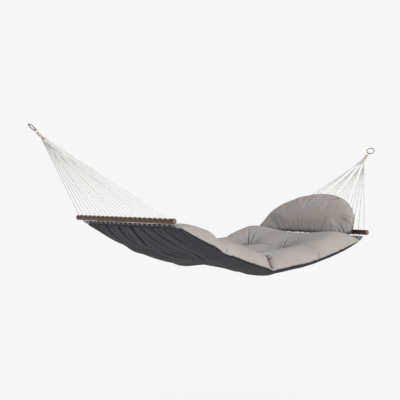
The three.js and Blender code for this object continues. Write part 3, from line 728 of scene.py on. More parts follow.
def add_hem(end):
    across_steps, round_steps = 276, 12
    half = HEM_THICKNESS / 2
    inner = hem_reach(end)
    brow = HEM_EDGE + half
    flat = [brow + (inner - brow) * share for share in (1.0, 0.75, 0.5, 0.25)]
    profile = [(down, -half) for down in flat]
    for step in range(round_steps + 1):
        turn = -math.pi / 2 - step * math.pi / round_steps
        profile.append((brow + half * math.cos(turn), half * math.sin(turn)))
    profile += [(down, half) for down in reversed(flat)]
    bm = bmesh.new()
    verts = [bm.verts.new(end.by_hem(down, -BED_WIDTH / 2, out)) for down, out in profile]
    edges = closed_loop(bm, verts)
    step_across = ACROSS * (BED_WIDTH / across_steps)
    for _ in range(across_steps):
        moved, edges = extruded(bm, edges)
        bmesh.ops.translate(bm, vec=step_across, verts=moved)
    bm.faces.new(verts)
    bmesh.ops.holes_fill(bm, edges=[edge for edge in bm.edges if edge.is_boundary], sides=0)
    pitch = EYELET_SPAN / HOLE_COUNT
    layer = bm.loops.layers.uv.new("UVMap")
    for face in bm.faces:
        for loop in face.loops:
            loop[layer].uv = ((loop.vert.co - end.bar).dot(end.hem), loop.vert.co.y)
    for vert in bm.verts:
        down = (vert.co - end.bar).dot(end.hem)
        slack = max(0.0, 1 - (down - HEM_EDGE) / SCALLOP_REACH)
        wave = 0.5 - 0.5 * math.cos(math.tau * (vert.co.y - EYELET_SPAN / 2) / pitch)
        vert.co += end.hem * SCALLOP_DEPTH * wave * slack
        vert.co += end.hem_out * hem_ripple(vert.co.y, down)
    hem = piece_from_bmesh(f"{end.name}_hem_band", bm, HEM_CANVAS[end])
    punch = bmesh.new()
    for eyelet in range(HOLE_COUNT + 1):
        bore(punch, end.at_eyelet(eyelet), HEM_THICKNESS * 3, EYELET_DIAMETER / 2)
    cut(hem, punch)
    hem.data.set_sharp_from_angle(angle=math.radians(50))
    settle(hem, "sling", "charcoal_canvas", f"{end.name}_hem")


def add_eyelets(end):
    """A rolled metal eyelet set in each hole of the hem."""
    section = [(3.9, -2.0), (4.3, -2.65), (5.2, -2.95), (6.8, -2.95), (7.7, -2.75), (8.0, -2.52)]
    section.append((4.5, -2.52))
    section += [(radius, -out) for radius, out in reversed(section)]
    bm = bmesh.new()
    for eyelet in range(HOLE_COUNT + 1):
        verts = [bm.verts.new((radius / 1000, 0, out / 1000)) for radius, out in section]
        edges = closed_loop(bm, verts)
        before = set(bm.verts) - set(verts)
        turned(bm, verts + edges, (0, 0, 1), 20)
        made = [vert for vert in bm.verts if vert not in before]
        bmesh.ops.transform(bm, matrix=end.at_eyelet(eyelet), verts=made)
    eyelets = piece_from_bmesh(f"{end.name}_eyelets", bm, NICKEL)
    eyelets.data.set_sharp_from_angle(angle=math.radians(50))
    settle(eyelets, "sling", "ring_steel")


def stitched(name, places, length, thickness):
    """A run of stitches, each a short thread whose ends dip into the cloth.

    Each place is a point, the direction along the seam and the face's normal."""
    routes = []
    for point, along, normal in places:
        run, rise = along.normalized() * length / 2, normal.normalized() * thickness * 0.25
        routes.append([point - run - rise * 2, point - run * 0.7 + rise, point + run * 0.7 + rise,
                       point + run - rise * 2])
    return piece_from(name, cord_mesh(name, routes, thickness, sides=6), THREAD)


def add_hem_stitching(end):
    count = round(BED_WIDTH / STITCH_PITCH) - 1
    places = []
    for down in (HEM_EDGE + 0.0275, hem_reach(end) - 0.004):
        for index in range(count):
            y = (index - (count - 1) / 2) * STITCH_PITCH
            for face in (-1, 1):
                point = end.by_hem(down, y, face * HEM_THICKNESS / 2 + hem_ripple(y, down))
                places.append((point, ACROSS, end.hem_out * face))
    settle(stitched(f"{end.name}_hem_stitching", places, STITCH_LENGTH, 0.0009), "sling", "cord")


# The bed's shape. Here x runs along the bed from its middle, and share is 0 at its middle line
# and 1 at its seam.
BED_SAG = 0.272
PAD_RISE = 0.12
# The upper panel starts this far below its full height, and its filling lifts it
PAD_SPARE = 0.012
PAD_HANG = 0.056
PAD_FLATNESS = 6
SIDE_ROUNDNESS = 0.4
SIDE_FULLNESS = 0.48
UNDERSIDE_ROUNDNESS = 0.45
END_RISE = 0.009
END_HANG = 0.006
TUFT_ROWS = (-0.5, -0.02, 0.46)
TUFT_OFFSET = 0.233
TUFTS = [(row, column) for row in TUFT_ROWS for column in (-TUFT_OFFSET, TUFT_OFFSET)]
TUFT_RADIUS = 0.175
TUFT_DEPTH = 0.6
EDGE_PINCH = 0.016
FOOT_TAPER = 0.38
HEAD_TAPER = 0.19
TAPER_CURVE = 2.2
ROW_VALLEY = 0.24
ROW_REACH = 0.09
FAR_FULLNESS = 0.2
NEAR_SLACK = 0.12
DRAWN_UP = 0.95
PINCH_REACH = 0.085
ROW_DROPS = (0.012, 0.014, 0.004)
DROP_REACH = 0.05
SEAM_HUMPS = [(0.006, -0.6, 0.05), (0.008, 0.2, 0.12)]
FOOT_SEAM = -HEM_END * math.tan(math.radians(HEM_SLOPES["foot"]))
HEAD_SEAM = HEAD.bar.z - FOOT.bar.z - HEM_END * math.tan(math.radians(HEM_SLOPES["head"]))


def bell(distance, radius):
    return np.exp(-(distance / radius) ** 2)


def crown(share, face):
    """Height of the pad's upper or under face across its width, 1 at its middle."""
    if face > 0:
        return (1 - np.abs(share) ** PAD_FLATNESS) ** SIDE_ROUNDNESS * (1 + SIDE_FULLNESS * share ** 2)
    return (1 - np.abs(share) ** PAD_FLATNESS) ** UNDERSIDE_ROUNDNESS


def eased(value):
    held = np.clip(value, 0, 1)
    return held * held * (3 - 2 * held)


def seam_height(x):
    share = (x + BED_HALF) / (2 * BED_HALF)
    height = FOOT_SEAM + (HEAD_SEAM - FOOT_SEAM) * share
    height = height - BED_SAG * (1 - np.abs(2 * share - 1) ** 1.5)
    for row, drop in zip(TUFT_ROWS, ROW_DROPS):
        height = height - drop * bell(x - row, DROP_REACH)
    for rise, place, reach in SEAM_HUMPS:
        height = height + rise * bell(x - place, reach)
    return height


def half_width(x):
    pinch = sum(bell(x - row, PINCH_REACH) for row in TUFT_ROWS)
    return BED_WIDTH / 2 - EDGE_PINCH * pinch


def end_share(x):
    from_foot = np.clip((x + BED_HALF) / FOOT_TAPER, 0, 1)
    from_head = np.clip((BED_HALF - x) / HEAD_TAPER, 0, 1)
    return (1 - (1 - from_foot) ** TAPER_CURVE) * (1 - (1 - from_head) ** TAPER_CURVE)


def pad_rise(x, share):
    """Height of the upper panel above the seam: tufts and valleys draw it down. In the head half the far
    roll is fuller and the near one slacker."""
    y = share * half_width(x)
    drawn = np.zeros_like(x)
    for row in TUFT_ROWS:
        valley = (ROW_VALLEY - 0.08 * share ** 2) * np.exp(-np.abs(x - row) / ROW_REACH)
        drawn = np.maximum(drawn, valley)
    for row, column in TUFTS:
        distance = np.hypot(x - row, y - column)
        drawn = np.maximum(drawn, TUFT_DEPTH * np.exp(-distance / TUFT_RADIUS))
    full = END_RISE + (PAD_RISE - PAD_SPARE - END_RISE) * end_share(x)
    rolls = 1 + FAR_FULLNESS * eased((share + 0.1) / 0.7) * eased((x + 0.1) / 0.35)
    rolls = rolls - NEAR_SLACK * eased(-(share + 0.2) / 0.4) * bell(x - 0.25, 0.3)
    return full * crown(share, 1) * rolls * (1 - drawn * end_share(x))


def pad_hang(x, share):
    """Depth of the underside below the seam, which is drawn up at the tufts and most of all midway."""
    y = share * half_width(x)
    drawn = DRAWN_UP * bell(x + 0.02, 0.2) * bell(y - 0.15, 0.34)
    for row, column in TUFTS:
        drawn = np.maximum(drawn, 0.35 * bell(np.hypot(x - row, y - column), 0.11))
    full = END_HANG + (PAD_HANG - END_HANG) * end_share(x)
    return full * crown(share, -1) * (1 - drawn)


def cloth_run(face):
    """Lengths of cloth from the middle line out to 4001 even shares of the half width."""
    fine = np.linspace(0, 1, 4001)
    height = (PAD_RISE if face > 0 else PAD_HANG) * crown(fine, face)
    steps = np.hypot(np.diff(fine) * BED_WIDTH / 2, np.diff(height))
    return fine, np.concatenate([[0], np.cumsum(steps)])


def even_shares(face, across):
    """Shares for marks that stand evenly apart along the pad's profile, for marks across from -1 to 1."""
    fine, run = cloth_run(face)
    return np.sign(across) * np.interp(np.abs(across) * run[-1], run, fine)


def profile_run(face, share):
    """Length of cloth from the middle line to a share of the half width."""
    fine, run = cloth_run(face)
    return np.sign(share) * np.interp(np.abs(share), fine, run)


# Cloth work shared by the bed and the pillow
def away_from(points, place):
    """Distance of each point from a place, both seen in plan."""
    return np.hypot(points[:, 0] - place[0], points[:, 1] - place[1])


def vectors(items, field):
    values = np.zeros(len(items) * 3, np.float32)
    items.foreach_get(field, values)
    return values.reshape(-1, 3).astype(float)


def coordinates(mesh):
    return vectors(mesh.vertices, "co")


def move_to(mesh, points):
    mesh.vertices.foreach_set("co", np.asarray(points, np.float32).ravel())
    mesh.update()


def normals(mesh):
    return vectors(mesh.vertex_normals, "vector")


def panel(bm, columns, rows, face, place):
    """A grid of cloth, its vertices put where place says for marks along and across from -1 to 1."""
    verts = bmesh.ops.create_grid(bm, x_segments=columns, y_segments=rows, size=1)["verts"]
    marks = np.array([vert.co[:2] for vert in verts])
    points = place(marks[:, 0], marks[:, 1])
    side, along, across = [bm.verts.layers.float[layer] for layer in ("side", "along", "across")]
    for vert, mark, point in zip(verts, marks, points):
        vert.co = point
        vert[side] = face
        vert[along], vert[across] = mark
    inside = set(verts)
    for item in bm.faces:
        if item.verts[0] in inside:
            item.material_index = 0 if face > 0 else 1


def sewn_cover(name, columns, rows, place):
    """Upper and under panels sewn together round their edge, each marked for the work that follows."""
    bm = bmesh.new()
    for layer in ("side", "along", "across"):
        bm.verts.layers.float.new(layer)
    for face in (1, -1):
        panel(bm, columns, rows[face], face, lambda along, across, face=face: place(along, across, face))
    bmesh.ops.remove_doubles(bm, verts=bm.verts, dist=2e-4)
    open_edges = [edge for edge in bm.edges if edge.is_boundary]
    for face in bmesh.ops.holes_fill(bm, edges=open_edges, sides=0)["faces"]:
        face.material_index = 2
    cover = piece_from_bmesh(name, bm, None)
    for material in (TAUPE, CHARCOAL, THREAD):
        cover.data.materials.append(material)
    return cover


def marks_of(mesh):
    """The marks along, across and the side of each vertex."""
    found = []
    for layer in ("along", "across", "side"):
        values = np.zeros(len(mesh.vertices), np.float32)
        mesh.attributes[layer].data.foreach_get("value", values)
        found.append(values.astype(float))
    return found


def filled_out(obj, held, pressure, spare, limit, frames=20):
    """Simulated cloth: the cover swells round its filling, held fast where held is 1.

    Spare is the share of extra cloth, and no vertex moves further than the limit."""
    start = coordinates(obj.data)
    group = obj.vertex_groups.new(name="held")
    for index in np.nonzero(held > 0.01)[0]:
        group.add([int(index)], float(held[index]), "REPLACE")
    modifier = obj.modifiers.new("Cloth", "CLOTH")
    cloth = modifier.settings
    cloth.quality = 6
    cloth.mass = 0.3
    cloth.tension_stiffness = cloth.compression_stiffness = 18
    cloth.shear_stiffness = 6
    cloth.bending_stiffness = 0.4
    cloth.vertex_group_mass = "held"
    cloth.pin_stiffness = 1.0
    cloth.use_pressure = True
    cloth.uniform_pressure_force = pressure
    cloth.shrink_min = -spare
    cloth.effector_weights.gravity = 0
    scene = bpy.context.scene
    for timed in (scene, modifier.point_cache):
        timed.frame_start, timed.frame_end = 1, frames
    for step in range(1, frames + 1):
        scene.frame_set(step)
    after = coordinates(obj.evaluated_get(bpy.context.evaluated_depsgraph_get()).data)
    obj.modifiers.clear()
    obj.vertex_groups.clear()
    scene.frame_set(1)
    moved = after - start
    far = np.linalg.norm(moved, axis=1, keepdims=True)
    moved *= np.minimum(1, limit / np.maximum(far, 1e-9))
    move_to(obj.data, start + moved)


def subdivided(obj):
    """The cover with its open ends bared and one level of subdivision."""
    bm = bmesh.new()
    bm.from_mesh(obj.data)
    ends = [face for face in bm.faces if face.material_index == 2]
    bmesh.ops.delete(bm, geom=ends, context="FACES_ONLY")
    bm.to_mesh(obj.data)
    bm.free()
    modifier = obj.modifiers.new("Subdivision", "SUBSURF")
    modifier.levels = modifier.render_levels = 1
    modifier.boundary_smooth = "PRESERVE_CORNERS"
    return made_final(obj)


def along_route(points, route):
    """Distance of each plan point from a route, and how far along it the nearest place is, from 0 to 1."""
    route = np.array(route, float)
    lengths = np.linalg.norm(np.diff(route, axis=0), axis=1)
    starts = np.concatenate([[0], np.cumsum(lengths)])
    nearest = np.full(len(points), 1e9)
    progress = np.zeros(len(points))
    for start, end, length, before in zip(route, route[1:], lengths, starts):
        share = np.clip(((points - start) @ (end - start)) / length ** 2, 0, 1)
        distance = np.linalg.norm(points - (start + share[:, None] * (end - start)), axis=1)
        closer = distance < nearest
        nearest[closer] = distance[closer]
        progress[closer] = (before + share[closer] * length) / starts[-1]
    return nearest, progress


def crease(points, route, depth, width, fading=0.8):
    """Height and shade of a crease: a sharp valley along the route with a soft lip on each side.

    It fades over that share of its length."""
    distance, progress = along_route(points, route)
    fade = eased((1 - progress) / fading) * eased((progress + 0.2) / 0.25)
    local = width * (0.8 + 0.5 * progress)
    valley = np.exp(-(distance / local) ** 1.4)
    lips = np.exp(-((distance - 2.6 * local) / (1.6 * local)) ** 2)
    return depth * fade * (0.4 * lips - valley), fade * np.exp(-(distance / (0.6 * width)) ** 2)


def keep_panel(cover, index, name, material):
    """One panel of a sewn cover as a closed piece of its own, with a flat lining from seam to seam."""
    bm = bmesh.new()
    bm.from_mesh(cover.data)
    drop = [face for face in bm.faces if face.material_index != index]
    bmesh.ops.delete(bm, geom=drop, context="FACES")
    across = bm.verts.layers.float["across"]
    sides = [edge for edge in bm.edges if edge.is_boundary
             and all(abs(vert[across]) > 0.9999 for vert in edge.verts)]
    bmesh.ops.bridge_loops(bm, edges=sides)
    open_edges = [edge for edge in bm.edges if edge.is_boundary]
    bmesh.ops.holes_fill(bm, edges=open_edges, sides=0)
    for face in bm.faces:
        face.material_index = 0
    return piece_from_bmesh(name, bm, material)


def metre_map(mesh, length, width):
    """UV map in metres from the marks along and across."""
    along, across, _ = marks_of(mesh)
    layer = mesh.uv_layers.new(name="UVMap")
    loops = np.zeros(len(mesh.loops), np.int32)
    mesh.loops.foreach_get("vertex_index", loops)
    uv = np.stack([along[loops] * length / 2, across[loops] * width / 2], axis=1)
    layer.data.foreach_set("uv", uv.astype(np.float32).ravel())


def mark_painted_shading(mesh, depth):
    """How much painted shade the material puts on each vertex, in creases, round tufts and along seams, or
    below 0 how much painted highlight on a ridge.
    """
    layer = mesh.attributes.new("painted_shading", "FLOAT", "POINT")
    layer.data.foreach_set("value", np.clip(depth, -1, 1).astype(np.float32))


# The bed
BED_COLUMNS = 160
BED_ROWS = {1: 140, -1: 124}


def bed_place(along, across, face):
    x = along * BED_HALF
    share = even_shares(face, across)
    rise = pad_rise(x, share) if face > 0 else -pad_hang(x, share)
    z = seam_height(x) + rise
    return np.stack([x, share * half_width(x), z], axis=1) + np.array(CENTRE)


def on_cloth(x, y):
    """A place on the upper panel's cloth, in metres along and across it, from its plan."""
    return (x, float(profile_run(1, np.array(y / (BED_WIDTH / 2)))))


# Creases that run out from each tuft: depth, width and the plan points beyond the tuft
TUFT_CREASES = {
    (0.46, TUFT_OFFSET): [
        (0.014, 0.007, [(0.58, 0.37), (0.74, 0.56)]),
        (0.013, 0.007, [(0.47, 0.33), (0.44, 0.50)]),
        (0.013, 0.006, [(0.59, 0.31), (0.77, 0.43)]),
        (0.009, 0.004, [(0.40, 0.30), (0.37, 0.40)]),
        (0.009, 0.006, [(0.40, 0.12), (0.38, 0.02)]),
    ],
    (0.46, -TUFT_OFFSET): [
        (0.011, 0.005, [(0.61, -0.13), (0.75, -0.04)]),
        (0.008, 0.004, [(0.57, -0.20), (0.66, -0.17)]),
        (0.014, 0.009, [(0.52, -0.34), (0.54, -0.44), (0.50, -0.56)]),
        (0.008, 0.006, [(0.42, -0.34), (0.41, -0.44)]),
        (0.009, 0.006, [(0.35, -0.18), (0.26, -0.14)]),
    ],
    (-0.02, -TUFT_OFFSET): [
        (0.014, 0.008, [(0.03, -0.36), (0.02, -0.54)]),
        (0.013, 0.007, [(-0.08, -0.36), (-0.07, -0.52)]),
        (0.010, 0.006, [(0.11, -0.19), (0.22, -0.20)]),
        (0.010, 0.006, [(-0.15, -0.17), (-0.26, -0.16)]),
    ],
    (-0.02, TUFT_OFFSET): [
        (0.012, 0.007, [(0.07, 0.36), (0.12, 0.53)]),
        (0.012, 0.007, [(-0.12, 0.37), (-0.14, 0.54)]),
        (0.009, 0.006, [(0.13, 0.20), (0.25, 0.12)]),
    ],
    (-0.50, -TUFT_OFFSET): [
        (0.011, 0.007, [(-0.46, -0.36), (-0.47, -0.50)]),
        (0.010, 0.006, [(-0.60, -0.33), (-0.66, -0.44)]),
        (0.010, 0.006, [(-0.64, -0.20), (-0.78, -0.16)]),
    ],
    (-0.50, TUFT_OFFSET): [
        (0.012, 0.007, [(-0.44, 0.38), (-0.46, 0.55)]),
        (0.012, 0.007, [(-0.62, 0.36), (-0.69, 0.52)]),
        (0.009, 0.006, [(-0.65, 0.24), (-0.79, 0.28)]),
    ],
}
# Creases of the side faces, given on the cloth: along the bed, and up from the seam
SIDE_CREASES = [
    (0.022, 0.020, [(-0.015, 0.18), (-0.018, 0.10), (-0.02, 0.0)]),
    (0.020, 0.019, [(-0.035, 0.26), (0.0, 0.22), (0.034, 0.185)]),
    (0.016, 0.015, [(-0.02, 0.205), (0.0, 0.175), (0.024, 0.15)]),
    (0.007, 0.005, [(-0.50, 0.0), (-0.48, 0.05), (-0.45, 0.09)]),
    (0.007, 0.005, [(0.46, 0.0), (0.48, 0.05), (0.49, 0.10)]),
]
# Folds of the underside: depth, width and the plan points of each
UNDER_FOLDS = [
    (0.020, 0.016, [(-0.93, 0.0), (-0.83, 0.05), (-0.70, 0.12), (-0.59, 0.10), (-0.50, -0.06),
                    (-0.44, -0.24)]),
    (0.024, 0.018, [(-0.93, -0.27), (-0.79, -0.32), (-0.65, -0.38), (-0.48, -0.42), (-0.31, -0.38),
                    (-0.14, -0.34)]),
    (0.016, 0.014, [(-0.93, 0.19), (-0.80, 0.26), (-0.68, 0.25), (-0.58, 0.20)]),
    (0.013, 0.013, [(-0.93, -0.13), (-0.80, -0.12), (-0.66, -0.16), (-0.56, -0.24)]),
    (0.010, 0.012, [(-0.93, -0.44), (-0.82, -0.47), (-0.70, -0.50)]),
    (0.012, 0.013, [(-0.93, 0.38), (-0.80, 0.44), (-0.66, 0.46)]),
    (0.009, 0.012, [(-0.93, 0.55), (-0.82, 0.57), (-0.72, 0.58)]),
    (0.012, 0.014, [(0.93, 0.24), (0.78, 0.22), (0.60, 0.24)]),
    (0.012, 0.014, [(0.93, -0.20), (0.76, -0.25), (0.58, -0.22)]),
    (0.009, 0.013, [(0.93, 0.02), (0.80, 0.0), (0.68, -0.03)]),
]


def gathers(mark_along, across_metres, half_length):
    """Small folds at the two ends, where the cloth is drawn into the hem at each eyelet."""
    from_end = (1 - np.abs(mark_along)) * half_length
    pitch = EYELET_SPAN / HOLE_COUNT
    reach = 0.10 + 0.07 * np.abs(np.sin(across_metres * 23 + 1)) ** 2
    wave = np.cos(math.tau * across_metres / pitch + 0.4 * np.sin(across_metres * 9))
    return 0.0045 * wave * eased(from_end / 0.02) * eased(1 - from_end / reach)


def sculpt_bed_top(points, normal, along, across, width):
    cloth = np.stack([along * BED_HALF, across * width / 2], axis=1)
    height = 0.5 * gathers(along, cloth[:, 1], BED_HALF)
    shade = np.zeros_like(height)
    routes = [(depth, size, 0.9, [on_cloth(*place) for place in (tuft, *route)])
              for tuft, creases in TUFT_CREASES.items() for depth, size, route in creases]
    for sign in (-1, 1):
        for depth, size, route in SIDE_CREASES:
            routes.append((depth, size, 0.25, [(x, sign * (width / 2 - up)) for x, up in route]))
    for depth, size, fading, route in routes:
        lift, line = crease(cloth, route, depth, size, fading)
        height += lift
        # Painted shade along the valley of each crease.
        shade = np.maximum(shade, line * min(1, depth / 0.012))
    for tuft in TUFTS:
        distance = away_from(cloth, on_cloth(*tuft))
        height -= 0.014 * bell(distance, 0.016)
        # Painted shade: dark at each tuft, with a broad soft darkening round it.
        shade = np.maximum(shade, np.maximum(bell(distance, 0.016), 0.44 * bell(distance, 0.13)))
    seam = (1 - np.abs(across)) * width / 2
    pucker = np.sin(cloth[:, 0] * math.tau / 0.061 + 1.7 * np.sin(cloth[:, 0] * 13))
    height += 0.0012 * pucker * eased(seam / 0.008) * eased(1 - seam / 0.04)
    height -= 0.0025 * bell(seam, 0.006)
    height *= eased(seam / 0.004)
    # Painted shadow line along the seam.
    shade = np.maximum(shade, 0.9 * bell(seam, 0.005))
    return points + normal * height[:, None], shade


def sculpt_underside(points, normal, along, across, width):
    plan = points[:, :2] - np.array(CENTRE)[:2]
    height = gathers(along, across * width / 2, BED_HALF)
    # Painted shade in the troughs of the gathers, painted highlight on their ridges.
    shade = -90 * height
    for depth, size, route in UNDER_FOLDS:
        distance, progress = along_route(plan, route)
        fade = eased((1 - progress) / 0.45) * eased((progress + 0.1) / 0.2)
        valley = np.exp(-(distance / size) ** 1.3)
        lips = np.exp(-((distance - 2.8 * size) / (1.9 * size)) ** 2)
        height += 1.2 * depth * fade * (0.45 * lips - valley)
        weight = fade * min(1, depth / 0.015)
        # Painted shade along the valley of each of these folds, painted highlight on its lips.
        shade += weight * (1.1 * np.exp(-(distance / (0.9 * size)) ** 2) - 0.7 * lips)
    seam = (1 - np.abs(across)) * width / 2
    # Painted shadow line under the seam.
    shade = shade + bell(seam, 0.014)
    height *= eased(seam / 0.02)
    return points + normal * height[:, None], shade


def add_bed():
    cover = sewn_cover("bed_cover", BED_COLUMNS, BED_ROWS, bed_place)
    mesh = cover.data
    along, across, side = marks_of(mesh)
    points = coordinates(mesh) - np.array(CENTRE)
    held = np.where((np.abs(across) > 0.999) | (np.abs(along) > 0.999), 1.0, np.where(side < 0, 0.85, 0.0))
    for tuft in TUFTS:
        distance = away_from(points, tuft)
        held = np.maximum(held, np.where(side > 0, np.clip((0.034 - distance) / 0.016, 0, 1), 0))
    filled_out(cover, held, pressure=4.0, spare=0.012, limit=0.018)
    cover = subdivided(cover)
    mesh = cover.data
    along, across, side = marks_of(mesh)
    points, normal = coordinates(mesh), normals(mesh)
    top_width = 2 * float(profile_run(1, np.array(1.0)))
    under_width = 2 * float(profile_run(-1, np.array(1.0)))
    top, top_painted_shading = sculpt_bed_top(points, normal, along, across, top_width)
    under, under_painted_shading = sculpt_underside(points, normal, along, across, under_width)
    move_to(mesh, np.where((side > 0)[:, None], top, under))
    mark_painted_shading(mesh, np.where(side > 0, top_painted_shading, under_painted_shading))
    upper = keep_panel(cover, 0, "bed_quilted_top", TAUPE)
    lower = keep_panel(cover, 1, "bed_canvas_underside", CHARCOAL)
    metre_map(upper.data, 2 * BED_HALF, top_width)
    metre_map(lower.data, 2 * BED_HALF, under_width)
    discard(cover)
    settle(upper, "sling", "taupe_canvas", "bed_top_cover", "bed_filling")
    settle(lower, "sling", "charcoal_canvas", "bed_underside")


# The pillow
PILLOW_HALF = 0.607
PILLOW_HEIGHT = 0.426
PILLOW_CORNER = 0.024
PILLOW_BASE_ALONG = -0.095
PILLOW_BASE_OUT = 0.068
PILLOW_LEAN = -0.066
PILLOW_FRONT = 0.068
PILLOW_BACK = 0.069
PILLOW_EDGE = 0.004
PILLOW_ARCH = 1.12
PILLOW_FLATNESS = 2.2
PILLOW_END_ROUNDNESS = 0.55
PILLOW_CROWN = 0.62
PILLOW_COLUMNS = 150
PILLOW_ROWS = {1: 72, -1: 60}


def pillow_place(mark, across, face):
    swing = mark * math.pi / 2
    share = np.sin(swing)
    height = PILLOW_CORNER + (PILLOW_HEIGHT - PILLOW_CORNER) * np.cos(swing) ** PILLOW_ARCH
    row = 0.5 - 0.5 * np.cos(math.pi * (across + 1) / 2)
    along = PILLOW_BASE_ALONG + height / 2 + (row - 0.5) * height
    lean = PILLOW_LEAN * (along - PILLOW_BASE_ALONG) / PILLOW_HEIGHT
    belly = 4 * row * (1 - row)
    fullness = (1 - np.abs(share) ** PILLOW_FLATNESS) ** PILLOW_END_ROUNDNESS
    if face > 0:
        bulge = PILLOW_FRONT * belly ** PILLOW_CROWN * fullness
    else:
        bulge = PILLOW_BACK * belly * fullness
    bulge = bulge + PILLOW_EDGE * np.minimum(1, belly * 6) * np.minimum(1, fullness * 4)
    out = PILLOW_BASE_OUT - lean + face * bulge
    return (np.array(HEAD.bar) + np.outer(along, HEAD.up) + np.outer(share * PILLOW_HALF, ACROSS)
            + np.outer(out, HEAD.out))


# Creases of the pillow's front: depth, width, and points given across and up the cords from the bar
PILLOW_CREASES = [
    (0.011, 0.022, [(-0.27, 0.34), (-0.24, 0.26), (-0.19, 0.16)]),
    (0.006, 0.005, [(-0.50, 0.20), (-0.43, 0.19), (-0.36, 0.185)]),
    (0.005, 0.004, [(-0.53, 0.15), (-0.47, 0.155), (-0.42, 0.15)]),
    (0.006, 0.005, [(-0.56, 0.06), (-0.49, 0.055), (-0.41, 0.06)]),
    (0.005, 0.004, [(-0.50, 0.245), (-0.45, 0.235), (-0.41, 0.235)]),
    (0.006, 0.006, [(-0.53, -0.08), (-0.47, -0.03), (-0.42, 0.0)]),
    (0.005, 0.009, [(0.22, 0.31), (0.20, 0.25), (0.17, 0.19)]),
]


def sculpt_pillow(points, normal, along, across, side):
    y = points[:, 1]
    rise = (points - np.array(HEAD.bar)) @ np.array(HEAD.up)
    seam = np.minimum(1 - np.abs(across), 1.6 * (1 - np.abs(along)))
    pucker = np.sin(along * 64 + 1.3 * np.sin(along * 17)) + 0.6 * np.sin(along * 101 + 2)
    height = np.where(side > 0, 0.0018, 0.004) * pucker * eased(seam / 0.05) * eased(1 - seam / 0.3)
    # Painted shadow line along the pillow's base, where it sits on the bed.
    shade = np.where(side > 0, bell(rise - PILLOW_BASE_ALONG, 0.016), 0)
    face = np.stack([y, rise], axis=1)
    for depth, width, route in PILLOW_CREASES:
        lift, line = crease(face, route, depth, width)
        height += np.where(side > 0, lift, 0)
        # Painted shade along each crease's valley.
        shade = np.maximum(shade, np.where(side > 0, line * depth / 0.014, 0))
    return points + normal * height[:, None], shade


def add_pillow():
    cover = sewn_cover("pillow_cover", PILLOW_COLUMNS, PILLOW_ROWS, pillow_place)
    along, across, side = marks_of(cover.data)
    held = np.where((np.abs(across) > 0.999) | (np.abs(along) > 0.999) | (side < 0), 1.0, 0.0)
    filled_out(cover, held, pressure=4.0, spare=0.025, limit=0.018)
    cover = subdivided(cover)
    mesh = cover.data
    along, across, side = marks_of(mesh)
    shaped, painted_shading = sculpt_pillow(coordinates(mesh), normals(mesh), along, across, side)
    move_to(mesh, shaped)
    mark_painted_shading(mesh, painted_shading)
    front = keep_panel(cover, 0, "pillow_front", TAUPE)
    back = keep_panel(cover, 1, "pillow_back", CHARCOAL)
    for panel_piece in (front, back):
        metre_map(panel_piece.data, 2 * PILLOW_HALF, PILLOW_HEIGHT)
    discard(cover)
    settle(front, "pillow", "taupe_canvas", "pillow_front_cover", "pillow_filling")
    settle(back, "pillow", "charcoal_canvas", "pillow_back_cover")


# Straps
STRAP_WIDTH = 0.02
STRAP_THICKNESS = 0.0022
STRAP_EYELETS = (3, 17)
STRAP_SHIFT = 0.0045
STRAP_TIP = (-0.1005, 0.061)
STRAP_TIP_WIDTH = 0.007


def strap_outline(inset):
    radius = BAR_RADIUS + RUNNING_GAP + STRAP_THICKNESS - inset
    tip_half = STRAP_TIP_WIDTH / 2 - inset
    reach = math.hypot(*STRAP_TIP) - inset
    direction = math.atan2(STRAP_TIP[1], STRAP_TIP[0])
    opening = math.acos((radius - tip_half) / reach)
    steps = 40
    points = []
    for step in range(steps + 1):
        angle = direction + opening + (math.tau - 2 * opening) * step / steps
        points.append((radius * math.cos(angle), radius * math.sin(angle)))
    for side in (-1, 1):
        points.append((reach * math.cos(direction) - side * tip_half * math.sin(direction),
                       reach * math.sin(direction) + side * tip_half * math.cos(direction)))
    return points


def add_strap(number, eyelet):
    """A webbing band looped round the head bar, its two ends sewn together below the pillow."""
    place = eyelet_across(eyelet) - STRAP_SHIFT
    bm = bmesh.new()
    rings = []
    for outline in (strap_outline(0), strap_outline(STRAP_THICKNESS)):
        verts = [bm.verts.new(HEAD.by_bar(along, place - STRAP_WIDTH / 2, out)) for along, out in outline]
        rings.append(closed_loop(bm, verts))
    faces = bmesh.ops.bridge_loops(bm, edges=rings[0] + rings[1])["faces"]
    made = bmesh.ops.extrude_face_region(bm, geom=faces)["geom"]
    moved = [item for item in made if isinstance(item, bmesh.types.BMVert)]
    bmesh.ops.translate(bm, vec=ACROSS * STRAP_WIDTH, verts=moved)
    bmesh.ops.recalc_face_normals(bm, faces=bm.faces)
    rims = [edge for edge in bm.edges if edge.calc_face_angle(0) > math.radians(60)]
    bmesh.ops.bevel(bm, geom=rims, offset=0.0006, affect="EDGES", segments=2, profile=0.5, material=-1)
    layer = bm.loops.layers.uv.new("UVMap")
    for face in bm.faces:
        for loop in face.loops:
            arm = loop.vert.co - HEAD.bar
            loop[layer].uv = (arm.dot(HEAD.up) + arm.dot(HEAD.out), loop.vert.co.y)
    strap = piece_from_bmesh(f"pillow_strap_band_{number}", bm, CHARCOAL)
    strap.data.set_sharp_from_angle(angle=math.radians(40))
    settle(strap, "sling", "charcoal_canvas", f"pillow_strap_{number}")


# Stage, light and camera
FLOOR_HEIGHT = -2.35
FLOOR_HALF = 60
PALE = tone(246, 246, 246)
FLOOR_GLOW = tone(252, 252, 252)
AMBIENT = 0.5
GLOW_SHARE = 0.85
CAMERA_PLACE = (-3.300497, -6.5258, -0.569667)
CAMERA_TURN = (math.radians(53.25), math.radians(0.33), 0.0202)
FRAME_PIXELS = 400
FOCAL_PIXELS = 984.8
LAMPS = [("key_lamp", (-0.1, -0.95, 0.25), 1.9, 30), ("top_lamp", (0.1, -0.1, 1.0), 0.22, 60)]


